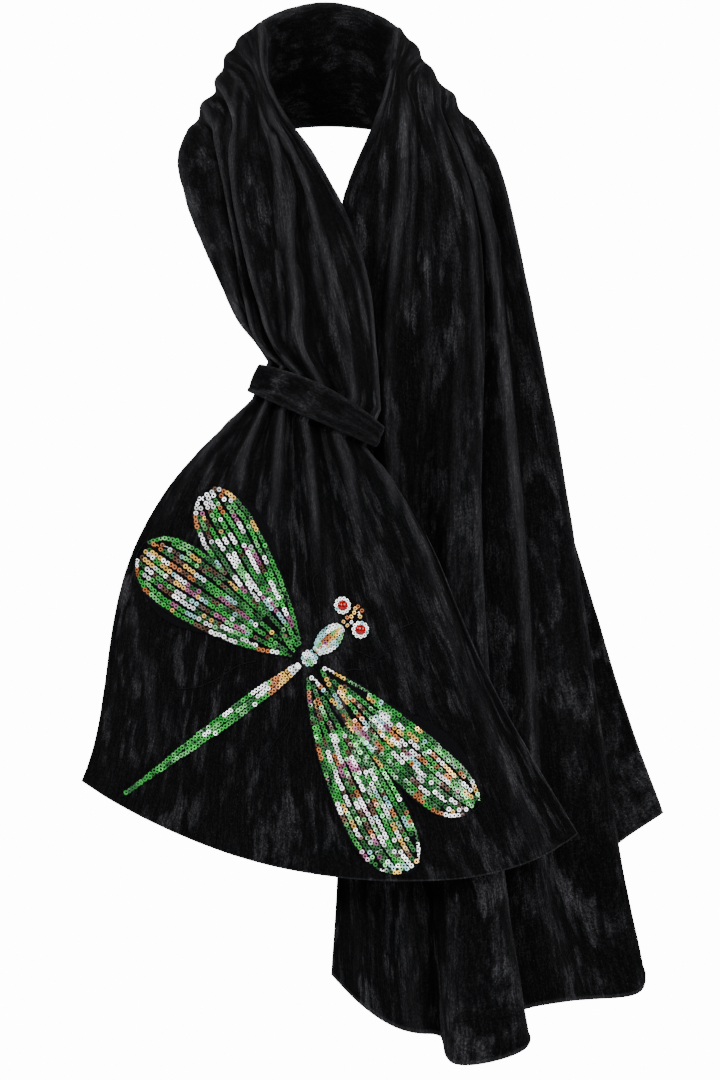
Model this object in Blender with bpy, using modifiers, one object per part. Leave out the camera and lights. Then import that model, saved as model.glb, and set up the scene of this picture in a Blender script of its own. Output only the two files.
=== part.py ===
"""A velvet scarf worn round the neck, one end drawn through a keeper band and fanned out below it.

The tables are in millimetres and the scene in metres. +X is to the right as seen from the
front, -Y is to the front and +Z is up. The origin is the middle of the neck, on the level
where the scarf rests. Depth means the distance in front of the neck's axis, so Y = -depth.
"""

import math
from dataclasses import dataclass

import bmesh
import bpy
import numpy as np
from mathutils import Vector
from mathutils.bvhtree import BVHTree

COLLECTION = "velvet_scarf"
MM = 0.001

# Cloth: velvet on both sides, its edges turned in.
WALL = 2.6
SEAM_GAP = 0.3
SEAM_LIP = 2.0

# How finely the walls are cut up: spans between two fold lines, and rows along each stretch.
PER_SPAN = 3
ROUNDING_PASSES = 1
RIGHT_ROWS = 19
LEFT_ROWS = 13
NECK_ROWS = 12
FAN_ROWS = 13

# The chest that the cloth hangs in front of, and how it rounds away to the sides.
CHEST_DEPTH = 98.0
CHEST_ROUNDING = 0.0008
CHEST_LEVEL = -90.0
LEAST_SHOULDER_DROP = 70.0
FOLDS_START = 60.0
FOLDS_OPEN = -70.0

# The neck: a row for each fold line, from the cloth's inner edge to its outer edge, with the
# distance from the neck's axis and the height at the right side, the back and the left side.
NECK = (
    # fold          right side   back         left side
    ("inner_edge", (62, 4), (64, 13), (62, 3)),
    ("inner_wall", (64, 54), (66, 72), (64, 52)),
    ("roll", (71, 111), (76, 142), (65, 116)),
    ("fold_3", (79, 99), (90, 133), (78, 107)),
    ("fold_4", (92, 89), (99, 116), (90, 98)),
    ("fold_5", (95, 77), (88, 103), (94, 88)),
    ("fold_6", (105, 69), (103, 97), (104, 81)),
    ("fold_7", (110, 57), (112, 81), (105, 67)),
    ("fold_8", (115, 50), (92, 68), (114, 56)),
    ("fold_9", (129, 41), (114, 62), (112, 43)),
    ("fold_10", (132, 26), (95, 43), (128, 33)),
    ("fold_11", (151, 10), (119, 38), (129, 17)),
    ("fold_12", (143, -18), (112, 30), (144, 2)),
    ("outer_edge", (124, -52), (98, 31), (124, -42)),
)

# The right stretch, shoulder to hem: how far each fold stands out at the chest and at the hem,
# the hem's point, and the distance to the right of the neck's axis at each level.
RIGHT_LEVELS = (60, 20, -20, -60, -110, -200, -320, -450, -600, -750)
RIGHT = (
    # fold         chest hem  hem x, z      across, at RIGHT_LEVELS
    ("inner_edge", -16, -4, (4, -845), (66, 62, 50, 32, 24, 18, 13, 11, 10, 10)),
    ("inner_wall", -10, -2, (20, -862), (67, 58, 43, 25, 18, 16, 14, 14, 14, 17)),
    ("roll", -3, 2, (36, -877), (64, 53, 36, 18, 14, 15, 18, 20, 22, 28)),
    ("fold_3", -12, -5, (63, -896), (68, 61, 57, 56, 53, 47, 43, 43, 45, 52)),
    ("fold_4", 3, 6, (89, -904), (76, 79, 78, 76, 71, 63, 65, 69, 73, 79)),
    ("fold_5", -12, -12, (116, -908), (83, 88, 94, 96, 97, 101, 96, 95, 100, 106)),
    ("fold_6", 8, 24, (124, -936), (90, 104, 116, 127, 133, 133, 126, 123, 124, 125)),
    ("fold_7", 6, 26, (207, -917), (97, 114, 130, 143, 153, 157, 156, 159, 168, 180)),
    ("fold_8", -14, -10, (184, -888), (99, 115, 131, 144, 152, 154, 150, 149, 155, 166)),
    ("fold_9", 10, 2, (240, -875), (105, 124, 139, 153, 164, 176, 187, 197, 205, 217)),
    ("fold_10", -8, -10, (268, -874), (108, 127, 144, 157, 170, 181, 191, 202, 214, 230)),
    ("fold_11", 6, 4, (328, -864), (126, 146, 168, 182, 193, 213, 238, 259, 281, 304)),
    ("fold_12", -22, -26, (270, -745), (115, 130, 150, 162, 170, 184, 202, 222, 240, 258)),
    ("outer_edge", -30, -34, (342, -688), (114, 124, 142, 154, 166, 186, 221, 262, 309, 341)),
)

# The left stretch, shoulder to band, in the same way. Left of the neck's axis is negative.
LEFT_LEVELS = (60, 20, -20, -60, -110, -170, -225)
LEFT = (
    # fold         chest  across, at LEFT_LEVELS
    ("inner_edge", -18, (-60, -60, -48, -26, 2, 22, 32)),
    ("inner_wall", -10, (-62, -54, -30, -4, 22, 37, 43)),
    ("roll", 4, (-63, -45, -16, 7, 30, 44, 49)),
    ("fold_3", -6, (-66, -52, -28, -8, 13, 27, 36)),
    ("fold_4", 6, (-70, -58, -37, -22, -6, 6, 20)),
    ("fold_5", -7, (-73, -63, -44, -31, -26, -15, -8)),
    ("fold_6", 6, (-77, -68, -52, -42, -37, -31, -22)),
    ("fold_7", -9, (-82, -77, -70, -63, -56, -46, -36)),
    ("fold_8", 12, (-88, -95, -97, -96, -86, -70, -47)),
    ("fold_9", -8, (-90, -90, -88, -85, -78, -67, -49)),
    ("fold_10", 3, (-114, -121, -112, -104, -94, -83, -60)),
    ("fold_11", -20, (-103, -103, -96, -91, -83, -74, -57)),
    ("fold_12", -14, (-120, -146, -154, -147, -128, -101, -75)),
    ("outer_edge", -36, (-106, -118, -121, -114, -100, -82, -62)),
)

# The keeper band, a sewn loop that lies askew round the gathered cloth. Its top edge is an
# arch, highest to the left of the middle, and its bottom edge is straight.
BAND_CENTRE = (-9.0, -276.0)
BAND_DEPTH = 150.0
BAND_TILT = math.radians(23.4)
BAND_TOP = -20.0
BAND_CROWN_ALONG = -15.0
BAND_ARCH = 0.0018
BAND_BOTTOM = 15.5
BAND_REACH = 20.5
BAND_WALL = 5.0
BAND_HALF_LENGTH = 71.0
BAND_HALF_DEPTH = 21.9
BAND_PUFF = 2.5
BAND_AROUND = 36

# The gathers inside the band: place along the band and how far each fold stands out.
GATHERS = (
    # fold          along, out
    ("inner_edge", 28, -14),
    ("inner_wall", 46, -11),
    ("roll", 60, 0),
    ("fold_3", 43, 2),
    ("fold_4", 29, 14),
    ("fold_5", 10, -7),
    ("fold_6", -6, 15),
    ("fold_7", -19, -7),
    ("fold_8", -30, 15),
    ("fold_9", -38, -5),
    ("fold_10", -48, 10),
    ("fold_11", -50, -2),
    ("fold_12", -62, 1),
    ("outer_edge", -54, -11),
)

# The fanned end, band to hem: each fold's direction from straight down at the hem, its length
# from the band, how far it stands out at the hem, and how far its line bulges to the side.
# More haste puts the bulge nearer the band.
FAN = (
    # fold          degrees, radius, out, bulge, haste
    ("inner_edge", 31.3, 500, 2, 31, 4),
    ("inner_wall", 29.4, 502, -5, 23, 4),
    ("roll", 26.6, 502, 8, 14, 4),
    ("fold_3", 22.6, 500, -6, 4, 4),
    ("fold_4", 17.5, 493, 4, 0, 2),
    ("fold_5", 11.8, 483, -2, 0, 2),
    ("fold_6", 6.0, 474, 2, 0, 2),
    ("fold_7", 0.0, 466, -1, 0, 2),
    ("fold_8", -6.4, 459, 2, -4, 2),
    ("fold_9", -12.6, 453, -1, -8, 2),
    ("fold_10", -17.8, 449, -7, -18, 2),
    ("fold_11", -22.8, 446, 2, -28, 2),
    ("fold_12", -27.8, 444, 6, -42, 2),
    ("outer_edge", -32.2, 443, -2, -57, 1.8),
)
FAN_DEPTH = 160.0
FAN_ROUNDING = 0.0009

# The dragonfly that is sewn on the fan: where its body is, how it leans, and its pieces.
MOTIF_CENTRE = (-17.0, -527.0)
BODY_LEAN = 45.0
TAIL_LEAN = 53.6
PATCH_WALL = 1.6
PATCH_GAP = 0.8
RIDGE_REACH = 7.0
WINGS = (
    # wing           root across, root up, length, widest, swing to a side, degrees from up
    ("wing_upper", -9, 11, 180, 54, 0.14, -31.0),
    ("wing_lower", -14, 3, 182, 70, -0.14, -55.5),
    ("wing_right", 11, -8, 206, 54, -0.14, 132.5),
    ("wing_base", -1, -15, 224, 66, 0.14, 152.5),
)
BODY = (
    # piece          from the centre along the body, length, width, crown
    ("abdomen", -11, -222, 15, 0.0),
    ("thorax", 7, 40, 25, 2.0),
    ("head", 48, 18, 11, 1.0),
)
WING_BLUNT = 1.9
WING_GRID = (14, 4)
BODY_BLUNT = {"abdomen": 0.6, "thorax": 1.0, "head": 1.0}
BODY_GRID = {"abdomen": (24, 2), "thorax": (6, 4), "head": (4, 4)}
EYE_RADIUS = 8.5
EYE_HEIGHT = 4.0
EYE_LIFT = 2.1
EYES = (
    # eye           across, up, from the motif's centre
    ("eye_left", 32, 52),
    ("eye_right", 50, 28),
)


def smooth_step(share):
    """0 at 0 and 1 at 1, level at both ends."""
    share = np.clip(share, 0.0, 1.0)
    return share * share * (3 - 2 * share)


def smooth_curve(knots, values, at):
    """The values, given at the knots, read from one smooth curve at other places."""
    knots = np.asarray(knots, float)
    values = np.asarray(values, float)
    spans = np.diff(knots)
    wide = spans.reshape((-1,) + (1,) * (values.ndim - 1))
    rises = np.diff(values, axis=0) / wide
    slopes = np.empty_like(values)
    slopes[0] = rises[0]
    slopes[-1] = rises[-1]
    slopes[1:-1] = (rises[:-1] * wide[1:] + rises[1:] * wide[:-1]) / (wide[:-1] + wide[1:])
    at = np.asarray(at, float)
    index = np.clip(np.searchsorted(knots, at, side="right") - 1, 0, len(spans) - 1)
    share = ((at - knots[index]) / spans[index]).reshape(at.shape + (1,) * (values.ndim - 1))
    span = spans[index].reshape(share.shape)
    start = (2 * share**3 - 3 * share**2 + 1) * values[index]
    start_slope = (share**3 - 2 * share**2 + share) * span * slopes[index]
    end = (3 * share**2 - 2 * share**3) * values[index + 1]
    end_slope = (share**3 - share**2) * span * slopes[index + 1]
    return start + start_slope + end + end_slope


def chest_depth(across):
    """The depth of plain cloth on the chest, which rounds away to both sides."""
    return CHEST_DEPTH - CHEST_ROUNDING * across**2


def shoulder_arc(side_height, height):
    """0 where a fold line passes the side of the neck, and 1 where it has come to the chest."""
    drop = max(side_height - CHEST_LEVEL, LEAST_SHOULDER_DROP)
    share = np.clip((side_height - height) / drop, 0.0, 1.0)
    return np.sqrt(1 - (1 - share) ** 2)


def opening_out(height):
    """How far the folds have opened: not at all on the shoulder, and wholly on the chest."""
    return smooth_step((FOLDS_START - height) / (FOLDS_START - FOLDS_OPEN))


def track(side, levels, across, end):
    """The heights and distances across that a fold line passes, from the side down to its end."""
    side_x, side_z = side
    end_x, end_z = end
    kept = [(z, x) for z, x in zip(levels, across) if end_z + 12 < z < side_z - 12]
    heights = [side_z] + [z for z, _ in kept] + [end_z]
    places = [side_x] + [x for _, x in kept] + [end_x]
    return np.array(heights, float), np.array(places, float)


def fall_line(side, levels, across, end, rows):
    """Points (x, z) down a fold line, closer together where it comes over the shoulder."""
    heights, places = track(side, levels, across, end)
    share = np.linspace(0, 1, rows + 1) ** 1.6
    z = side[1] + (end[1] - side[1]) * share
    x = smooth_curve(-heights, places, -z)
    return x, z


def gather_point(fold, below):
    """A fold line's place in the band, below its middle line: x, z and how far it stands out."""
    _, along, out = GATHERS[fold]
    x = BAND_CENTRE[0] + along * math.cos(BAND_TILT) - below * math.sin(BAND_TILT)
    z = BAND_CENTRE[1] - along * math.sin(BAND_TILT) - below * math.cos(BAND_TILT)
    return x, z, out


def gather_row():
    """The fold points in the middle of the band."""
    points = []
    for fold in range(len(GATHERS)):
        x, z, out = gather_point(fold, 0)
        points.append((x, -(BAND_DEPTH + out), z))
    return np.array([points])


def right_lines():
    """The right stretch's fold lines, as rows of points (x, y, z)."""
    lines = []
    for (_, side, _, _), (_, chest, hem, end, across) in zip(NECK, RIGHT):
        x, z = fall_line(side, RIGHT_LEVELS, across, end, RIGHT_ROWS)
        share = smooth_step((CHEST_LEVEL - z) / (CHEST_LEVEL - end[1]))
        stand = (chest + (hem - chest) * share) * opening_out(z)
        depth = shoulder_arc(side[1], z) * (chest_depth(x) + stand)
        lines.append(np.stack([x, -depth, z], axis=-1))
    return np.stack(lines, axis=1)


def left_lines():
    """The left stretch's fold lines, down to the middle of the band."""
    lines = []
    for fold, ((_, _, _, side), (_, chest, across)) in enumerate(zip(NECK, LEFT)):
        end_x, end_z, out = gather_point(fold, -BAND_REACH)
        x, z = fall_line((-side[0], side[1]), LEFT_LEVELS, across, (end_x, end_z), LEFT_ROWS)
        top = min(side[1], 0)
        share = smooth_step((top - z) / (top - end_z))
        plain = shoulder_arc(side[1], z) * (chest_depth(x) + chest * opening_out(z))
        depth = plain * (1 - share) + (BAND_DEPTH + out) * share
        lines.append(np.stack([x, -depth, z], axis=-1))
    return np.concatenate([np.stack(lines, axis=1), gather_row()])


def neck_lines():
    """The fold lines round the back of the neck, from the right side to the left side."""
    turn = np.linspace(0, math.pi, NECK_ROWS + 1)
    lines = []
    for _, right, back, left in NECK:
        to_back = smooth_step(turn / (math.pi / 2))
        to_left = smooth_step((turn - math.pi / 2) / (math.pi / 2))
        radius = right[0] + (back[0] - right[0]) * to_back + (left[0] - back[0]) * to_left
        height = right[1] + (back[1] - right[1]) * to_back + (left[1] - back[1]) * to_left
        lines.append(np.stack([radius * np.cos(turn), radius * np.sin(turn), height], axis=-1))
    return np.stack(lines, axis=1)


def fan_lines():
    """The fanned end's fold lines, from the middle of the band to the hem."""
    share = np.linspace(0, 1, FAN_ROWS + 1) ** 1.25
    lines = []
    for fold, (_, degrees, radius, hem_out, bulge, haste) in enumerate(FAN):
        start_x, start_z, band_out = gather_point(fold, BAND_REACH)
        turn = math.radians(degrees)
        end_x = BAND_CENTRE[0] + radius * math.sin(turn)
        end_z = BAND_CENTRE[1] - radius * math.cos(turn)
        most = haste**haste / (haste + 1) ** (haste + 1)
        sideways = share * (1 - share) ** haste / most
        x = start_x + (end_x - start_x) * share + bulge * sideways
        z = start_z + (end_z - start_z) * share
        stand = band_out * (1 - share) ** 2 + hem_out * smooth_step(share)
        settled = smooth_step(share / 0.5)
        plain = BAND_DEPTH + (FAN_DEPTH - FAN_ROUNDING * x**2 - BAND_DEPTH) * settled
        lines.append(np.stack([x, -(plain + stand), z], axis=-1))
    return np.concatenate([gather_row(), np.stack(lines, axis=1)])


def across_folds(rows):
    """Each row of fold points made one soft curve, with PER_SPAN steps from fold to fold."""
    curves = []
    for points in rows:
        chord = np.sqrt(np.linalg.norm(np.diff(points, axis=0), axis=1))
        knots = np.concatenate([[0], np.cumsum(chord)])
        steps = np.arange(len(knots) * PER_SPAN - PER_SPAN + 1) / PER_SPAN
        at = np.interp(steps, np.arange(len(knots)), knots)
        curves.append(smooth_curve(knots, points, at))
    curves = np.array(curves)
    for _ in range(ROUNDING_PASSES):
        beside = (curves[:, :-2] + curves[:, 2:]) / 2
        curves[:, 1:-1] = (curves[:, 1:-1] + beside) / 2
    return curves


def with_lip(rows, first, direction):
    """A short straight row at one end, so that the seam's edge is square and keeps its gap."""
    direction = np.asarray(direction, float)
    end = rows[0] if first else rows[-1]
    outer = end + direction * SEAM_GAP / 2
    inner = end + direction * (SEAM_GAP / 2 + SEAM_LIP)
    if first:
        return np.concatenate([[outer, inner], rows[1:]])
    return np.concatenate([rows[:-1], [inner, outer]])


def material(name, colour, roughness, metallic=0.0):
    """A plain finish in a piece's own colour."""
    finish = bpy.data.materials.new(name)
    finish.use_nodes = True
    shader = finish.node_tree.nodes["Principled BSDF"]
    shader.inputs["Base Color"].default_value = (*colour, 1.0)
    shader.inputs["Roughness"].default_value = roughness
    shader.inputs["Metallic"].default_value = metallic
    return finish


def grid_mesh(name, points):
    """A grid of faces whose corners are moved to the given rows of points, in metres."""
    rows, columns = points.shape[0] - 1, points.shape[1] - 1
    shape = bmesh.new()
    bmesh.ops.create_grid(shape, x_segments=columns, y_segments=rows, size=0.5)
    for vertex in shape.verts:
        column = round((vertex.co.x + 0.5) * columns)
        row = round((vertex.co.y + 0.5) * rows)
        vertex.co = Vector(points[row, column] * MM)
    mesh = bpy.data.meshes.new(name)
    shape.to_mesh(mesh)
    shape.free()
    return mesh


def add_object(name, mesh, finish, collection):
    """One named piece, shaded smooth but for its sharp edges."""
    mesh.materials.append(finish)
    mesh.shade_smooth()
    mesh.set_sharp_from_angle(angle=math.radians(50))
    piece = bpy.data.objects.new(name, mesh)
    collection.objects.link(piece)
    return piece


def thicken(piece, wall, offset):
    """Gives an open surface its wall."""
    modifier = piece.modifiers.new("wall", "SOLIDIFY")
    modifier.thickness = wall * MM
    modifier.offset = offset
    modifier.use_even_offset = False
    return modifier


def cloth_stretch(name, rows, finish, collection):
    """One stretch of the scarf, as a wall through its rows of fold points."""
    mesh = grid_mesh(name, across_folds(rows))
    piece = add_object(name, mesh, finish, collection)
    thicken(piece, WALL, 0.0)
    return piece


def keeper_band(finish, collection):
    """The sewn loop: a puffed strip that goes round the gathers and closes on itself."""
    along = np.array([math.cos(BAND_TILT), 0, -math.sin(BAND_TILT)])
    down = np.array([-math.sin(BAND_TILT), 0, -math.cos(BAND_TILT)])
    forward = np.array([0, -1.0, 0])
    centre = np.array([BAND_CENTRE[0], -BAND_DEPTH, BAND_CENTRE[1]])
    section = (
        # down, out
        (-0.5, 0.0),
        (-0.5, 0.5),
        (-0.3, 1.0),
        (0.0, 0.8),
        (0.3, 1.0),
        (0.5, 0.5),
        (0.5, 0.0),
    )
    shape = bmesh.new()
    loops = []
    for turn in np.linspace(0, 2 * math.pi, BAND_AROUND, endpoint=False):
        side, front = math.cos(turn), math.sin(turn)
        loop = []
        for step, out in section:
            outward = out * (BAND_WALL + BAND_PUFF * max(front, 0))
            half_length = BAND_HALF_LENGTH - BAND_WALL + outward
            half_depth = BAND_HALF_DEPTH - BAND_WALL + outward
            beside = half_length * math.copysign(abs(side) ** 0.75, side)
            ahead = half_depth * math.copysign(abs(front) ** 0.6, front)
            top = BAND_TOP + BAND_ARCH * (beside - BAND_CROWN_ALONG) ** 2
            below = top + (BAND_BOTTOM - top) * (step + 0.5)
            place = centre + along * beside + forward * ahead + down * below
            loop.append(shape.verts.new(Vector(place * MM)))
        loops.append(loop)
    for first, second in zip(loops, loops[1:] + loops[:1]):
        for i in range(len(section)):
            j = (i + 1) % len(section)
            shape.faces.new((first[i], first[j], second[j], second[i]))
    bmesh.ops.recalc_face_normals(shape, faces=shape.faces)
    mesh = bpy.data.meshes.new("keeper_band")
    shape.to_mesh(mesh)
    shape.free()
    return add_object("keeper_band", mesh, finish, collection)


def surface_of(piece):
    """The piece's outer surface as it stands, to lay other pieces on."""
    bpy.context.view_layer.update()
    graph = bpy.context.evaluated_depsgraph_get()
    return BVHTree.FromObject(piece, graph)


def laid_on(surface, x, z, lift):
    """The point in front of the cloth at x and z, moved out by the lift and clear of any ridge."""
    nearest = []
    for across, up in ((0, 0), (-RIDGE_REACH, 0), (RIDGE_REACH, 0), (0, -RIDGE_REACH), (0, RIDGE_REACH)):
        origin = Vector(((x + across) * MM, -1.0, (z + up) * MM))
        place, _, _, _ = surface.ray_cast(origin, Vector((0, 1, 0)))
        if place is not None:
            nearest.append(place.y / MM)
    return np.array([x, min(nearest) - lift, z])


@dataclass
class Leaf:
    """A leaf-shaped outline: its size, its direction from straight up and how it is cut up."""

    length: float
    width: float
    degrees: float
    blunt: float
    counts: tuple
    swing: float = 0.0
    crown: float = 0.0


def leaf_width(share, blunt):
    """Half the width of a leaf shape along its length, 1 at its widest."""
    return math.sin(math.pi * share**blunt) ** 0.8 * 0.97 + 0.03


def patch(name, surface, root, leaf, finish, collection):
    """A leaf-shaped piece of thick embroidery that lies on the cloth, from its root to its tip."""
    rows, columns = leaf.counts
    turn = math.radians(leaf.degrees)
    ahead = np.array([math.sin(turn), math.cos(turn)])
    aside = np.array([ahead[1], -ahead[0]])
    points = np.empty((rows + 1, columns + 1, 3))
    for row in range(rows + 1):
        share = 0.015 + 0.97 * row / rows
        half = leaf.width / 2 * leaf_width(share, leaf.blunt)
        for column in range(columns + 1):
            place = 2 * column / columns - 1
            sideways = half * (place + 2 * leaf.swing)
            x, z = np.array(root) + ahead * leaf.length * row / rows + aside * sideways
            rise = leaf.crown * (1 - place**2)
            points[row, column] = laid_on(surface, x, z, PATCH_GAP + rise)
    mesh = grid_mesh(name, points)
    piece = add_object(name, mesh, finish, collection)
    thicken(piece, PATCH_WALL, 1.0 if mesh.polygons[0].normal.y < 0 else -1.0)
    return piece


def eye(name, surface, x, z, finish, collection):
    """A large domed bead, flat behind."""
    shape = bmesh.new()
    bmesh.ops.create_uvsphere(shape, u_segments=14, v_segments=8, radius=EYE_RADIUS * MM)
    cut = bmesh.ops.bisect_plane(
        shape,
        geom=shape.verts[:] + shape.edges[:] + shape.faces[:],
        plane_co=(0, 0, 0),
        plane_no=(0, 0, -1),
        clear_outer=True,
    )
    rim = [item for item in cut["geom_cut"] if isinstance(item, bmesh.types.BMEdge)]
    bmesh.ops.contextual_create(shape, geom=rim)
    place, normal, _, _ = surface.ray_cast(Vector((x * MM, -1.0, z * MM)), Vector((0, 1, 0)))
    bmesh.ops.scale(shape, verts=shape.verts, vec=(1, 1, EYE_HEIGHT / EYE_RADIUS))
    bmesh.ops.rotate(shape, verts=shape.verts, matrix=normal.to_track_quat("Z", "Y").to_matrix())
    bmesh.ops.translate(shape, verts=shape.verts, vec=place + normal * EYE_LIFT * MM)
    bmesh.ops.recalc_face_normals(shape, faces=shape.faces)
    mesh = bpy.data.meshes.new(name)
    shape.to_mesh(mesh)
    shape.free()
    return add_object(name, mesh, finish, collection)


def dragonfly(fan, collection):
    """The sewn-on dragonfly: four wings, abdomen, thorax, head and two bead eyes."""
    surface = surface_of(fan)
    green = material("wing_sequins", (0.10, 0.42, 0.14), 0.35)
    pale = material("body_sequins", (0.55, 0.62, 0.60), 0.3)
    gold = material("head_sequins", (0.70, 0.45, 0.12), 0.35, 0.4)
    red = material("eye_beads", (0.65, 0.02, 0.03), 0.12)
    centre = np.array(MOTIF_CENTRE)
    for name, across, up, length, width, swing, degrees in WINGS:
        leaf = Leaf(length, width, degrees, WING_BLUNT, WING_GRID, swing=swing)
        patch(name, surface, centre + (across, up), leaf, green, collection)
    finishes = {"abdomen": green, "thorax": pale, "head": gold}
    for name, start, length, width, crown in BODY:
        degrees = TAIL_LEAN if length < 0 else BODY_LEAN
        turn = math.radians(degrees)
        root = centre + np.array([math.sin(turn), math.cos(turn)]) * start
        leaf = Leaf(length, width, degrees, BODY_BLUNT[name], BODY_GRID[name], crown=crown)
        patch(name, surface, root, leaf, finishes[name], collection)
    for name, across, up in EYES:
        x, z = centre + (across, up)
        eye(name, surface, x, z, red, collection)


def clear_scene():
    """Takes away whatever the scene starts with."""
    for item in list(bpy.data.objects):
        bpy.data.objects.remove(item)


def main():
    clear_scene()
    collection = bpy.data.collections.new(COLLECTION)
    bpy.context.scene.collection.children.link(collection)
    velvet = material("black_velvet", (0.012, 0.012, 0.016), 0.85)
    backward = (0, 1, 0)
    forward = (0, -1, 0)
    down_band = np.array([-math.sin(BAND_TILT), 0, -math.cos(BAND_TILT)])
    right = with_lip(right_lines(), True, forward)
    left = with_lip(with_lip(left_lines(), True, forward), False, -down_band)
    neck = with_lip(with_lip(neck_lines(), True, backward), False, backward)
    fan = with_lip(fan_lines(), True, down_band)
    cloth_stretch("right_fall", right, velvet, collection)
    cloth_stretch("left_fall", left, velvet, collection)
    cloth_stretch("neck_wrap", neck, velvet, collection)
    fan_piece = cloth_stretch("fan_end", fan, velvet, collection)
    keeper_band(velvet, collection)
    dragonfly(fan_piece, collection)


main()
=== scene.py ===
"""Looks of a worn velvet scarf with a sequin dragonfly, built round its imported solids.

The tables are in millimetres and the scene in metres. +X is to the right as seen from the
front, -Y is to the front and +Z is up. Depth means the distance in front of the neck's axis.
"""

import logging
import math
from collections.abc import Callable
from dataclasses import dataclass, field
from enum import Enum

import bmesh
import bpy
import numpy as np
from mathutils import Matrix, Vector, noise
from mathutils.bvhtree import BVHTree


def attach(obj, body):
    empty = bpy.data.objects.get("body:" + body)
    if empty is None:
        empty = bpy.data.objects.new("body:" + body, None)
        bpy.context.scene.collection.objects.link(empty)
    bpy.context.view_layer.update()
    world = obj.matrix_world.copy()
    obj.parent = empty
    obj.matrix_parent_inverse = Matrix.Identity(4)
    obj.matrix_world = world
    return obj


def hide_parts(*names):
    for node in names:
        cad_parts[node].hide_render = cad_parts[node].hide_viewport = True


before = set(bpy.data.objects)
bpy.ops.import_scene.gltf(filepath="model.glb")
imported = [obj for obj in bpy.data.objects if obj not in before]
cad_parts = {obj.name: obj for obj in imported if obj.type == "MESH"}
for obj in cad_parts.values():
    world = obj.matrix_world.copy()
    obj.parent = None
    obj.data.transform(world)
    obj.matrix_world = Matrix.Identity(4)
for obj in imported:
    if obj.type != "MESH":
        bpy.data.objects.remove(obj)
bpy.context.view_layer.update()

LOG = logging.getLogger("velvet_scarf")
MM = 0.001
TintChoice = Callable[[float, float, np.random.Generator], tuple[float, float, float]]

# The chest that the cloth hangs in front of, and how it rounds away to the sides.
CHEST_DEPTH = 98.0
CHEST_ROUNDING = 0.0008
CHEST_LEVEL = -90.0
LEAST_SHOULDER_DROP = 70.0
FOLDS_START = 60.0
FOLDS_OPEN = -70.0

# The neck: for each fold line from the cloth's inner edge to its outer edge, the distance from
# the neck's axis and the height at the right side, the back and the left side.
NECK = (
    # fold          right side   back         left side
    ("inner_edge", (62, 4), (64, 13), (62, 3)),
    ("inner_wall", (64, 54), (66, 72), (64, 52)),
    ("roll", (71, 111), (76, 142), (65, 116)),
    ("fold_3", (79, 99), (90, 133), (78, 107)),
    ("fold_4", (92, 89), (99, 116), (90, 98)),
    ("fold_5", (95, 77), (88, 103), (94, 88)),
    ("fold_6", (105, 69), (103, 97), (104, 81)),
    ("fold_7", (110, 57), (112, 81), (105, 67)),
    ("fold_8", (115, 50), (92, 68), (114, 56)),
    ("fold_9", (129, 41), (114, 62), (112, 43)),
    ("fold_10", (132, 26), (95, 43), (128, 33)),
    ("fold_11", (151, 10), (119, 38), (129, 17)),
    ("fold_12", (143, -18), (112, 30), (144, 2)),
    ("outer_edge", (124, -52), (98, 31), (124, -42)),
)

# The right stretch, shoulder to hem: how far each fold stands out at the chest and at the hem,
# the hem's point, and the distance to the right of the neck's axis at each level.
RIGHT_LEVELS = (60, 20, -20, -60, -110, -200, -320, -450, -600, -750)
RIGHT = (
    # fold         chest hem  hem x, z      across, at RIGHT_LEVELS
    ("inner_edge", -16, -4, (4, -845), (66, 62, 50, 32, 24, 18, 13, 11, 10, 10)),
    ("inner_wall", -10, -2, (20, -862), (67, 58, 43, 25, 18, 16, 14, 14, 14, 17)),
    ("roll", -3, 2, (36, -877), (64, 53, 36, 18, 14, 15, 18, 20, 22, 28)),
    ("fold_3", -12, -5, (63, -896), (68, 61, 57, 56, 53, 47, 43, 43, 45, 52)),
    ("fold_4", 3, 6, (89, -904), (76, 79, 78, 76, 71, 63, 65, 69, 73, 79)),
    ("fold_5", -12, -12, (116, -908), (83, 88, 94, 96, 97, 101, 96, 95, 100, 106)),
    ("fold_6", 8, 24, (124, -936), (90, 104, 116, 127, 133, 133, 126, 123, 124, 125)),
    ("fold_7", 6, 26, (207, -917), (97, 114, 130, 143, 153, 157, 156, 159, 168, 180)),
    ("fold_8", -14, -10, (184, -888), (99, 115, 131, 144, 152, 154, 150, 149, 155, 166)),
    ("fold_9", 10, 2, (240, -875), (105, 124, 139, 153, 164, 176, 187, 197, 205, 217)),
    ("fold_10", -8, -10, (268, -874), (108, 127, 144, 157, 170, 181, 191, 202, 214, 230)),
    ("fold_11", 6, 4, (328, -864), (126, 146, 168, 182, 193, 213, 238, 259, 281, 304)),
    ("fold_12", -22, -26, (270, -745), (115, 130, 150, 162, 170, 184, 202, 222, 240, 258)),
    ("outer_edge", -30, -34, (342, -688), (114, 124, 142, 154, 166, 186, 221, 262, 309, 341)),
)

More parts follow.
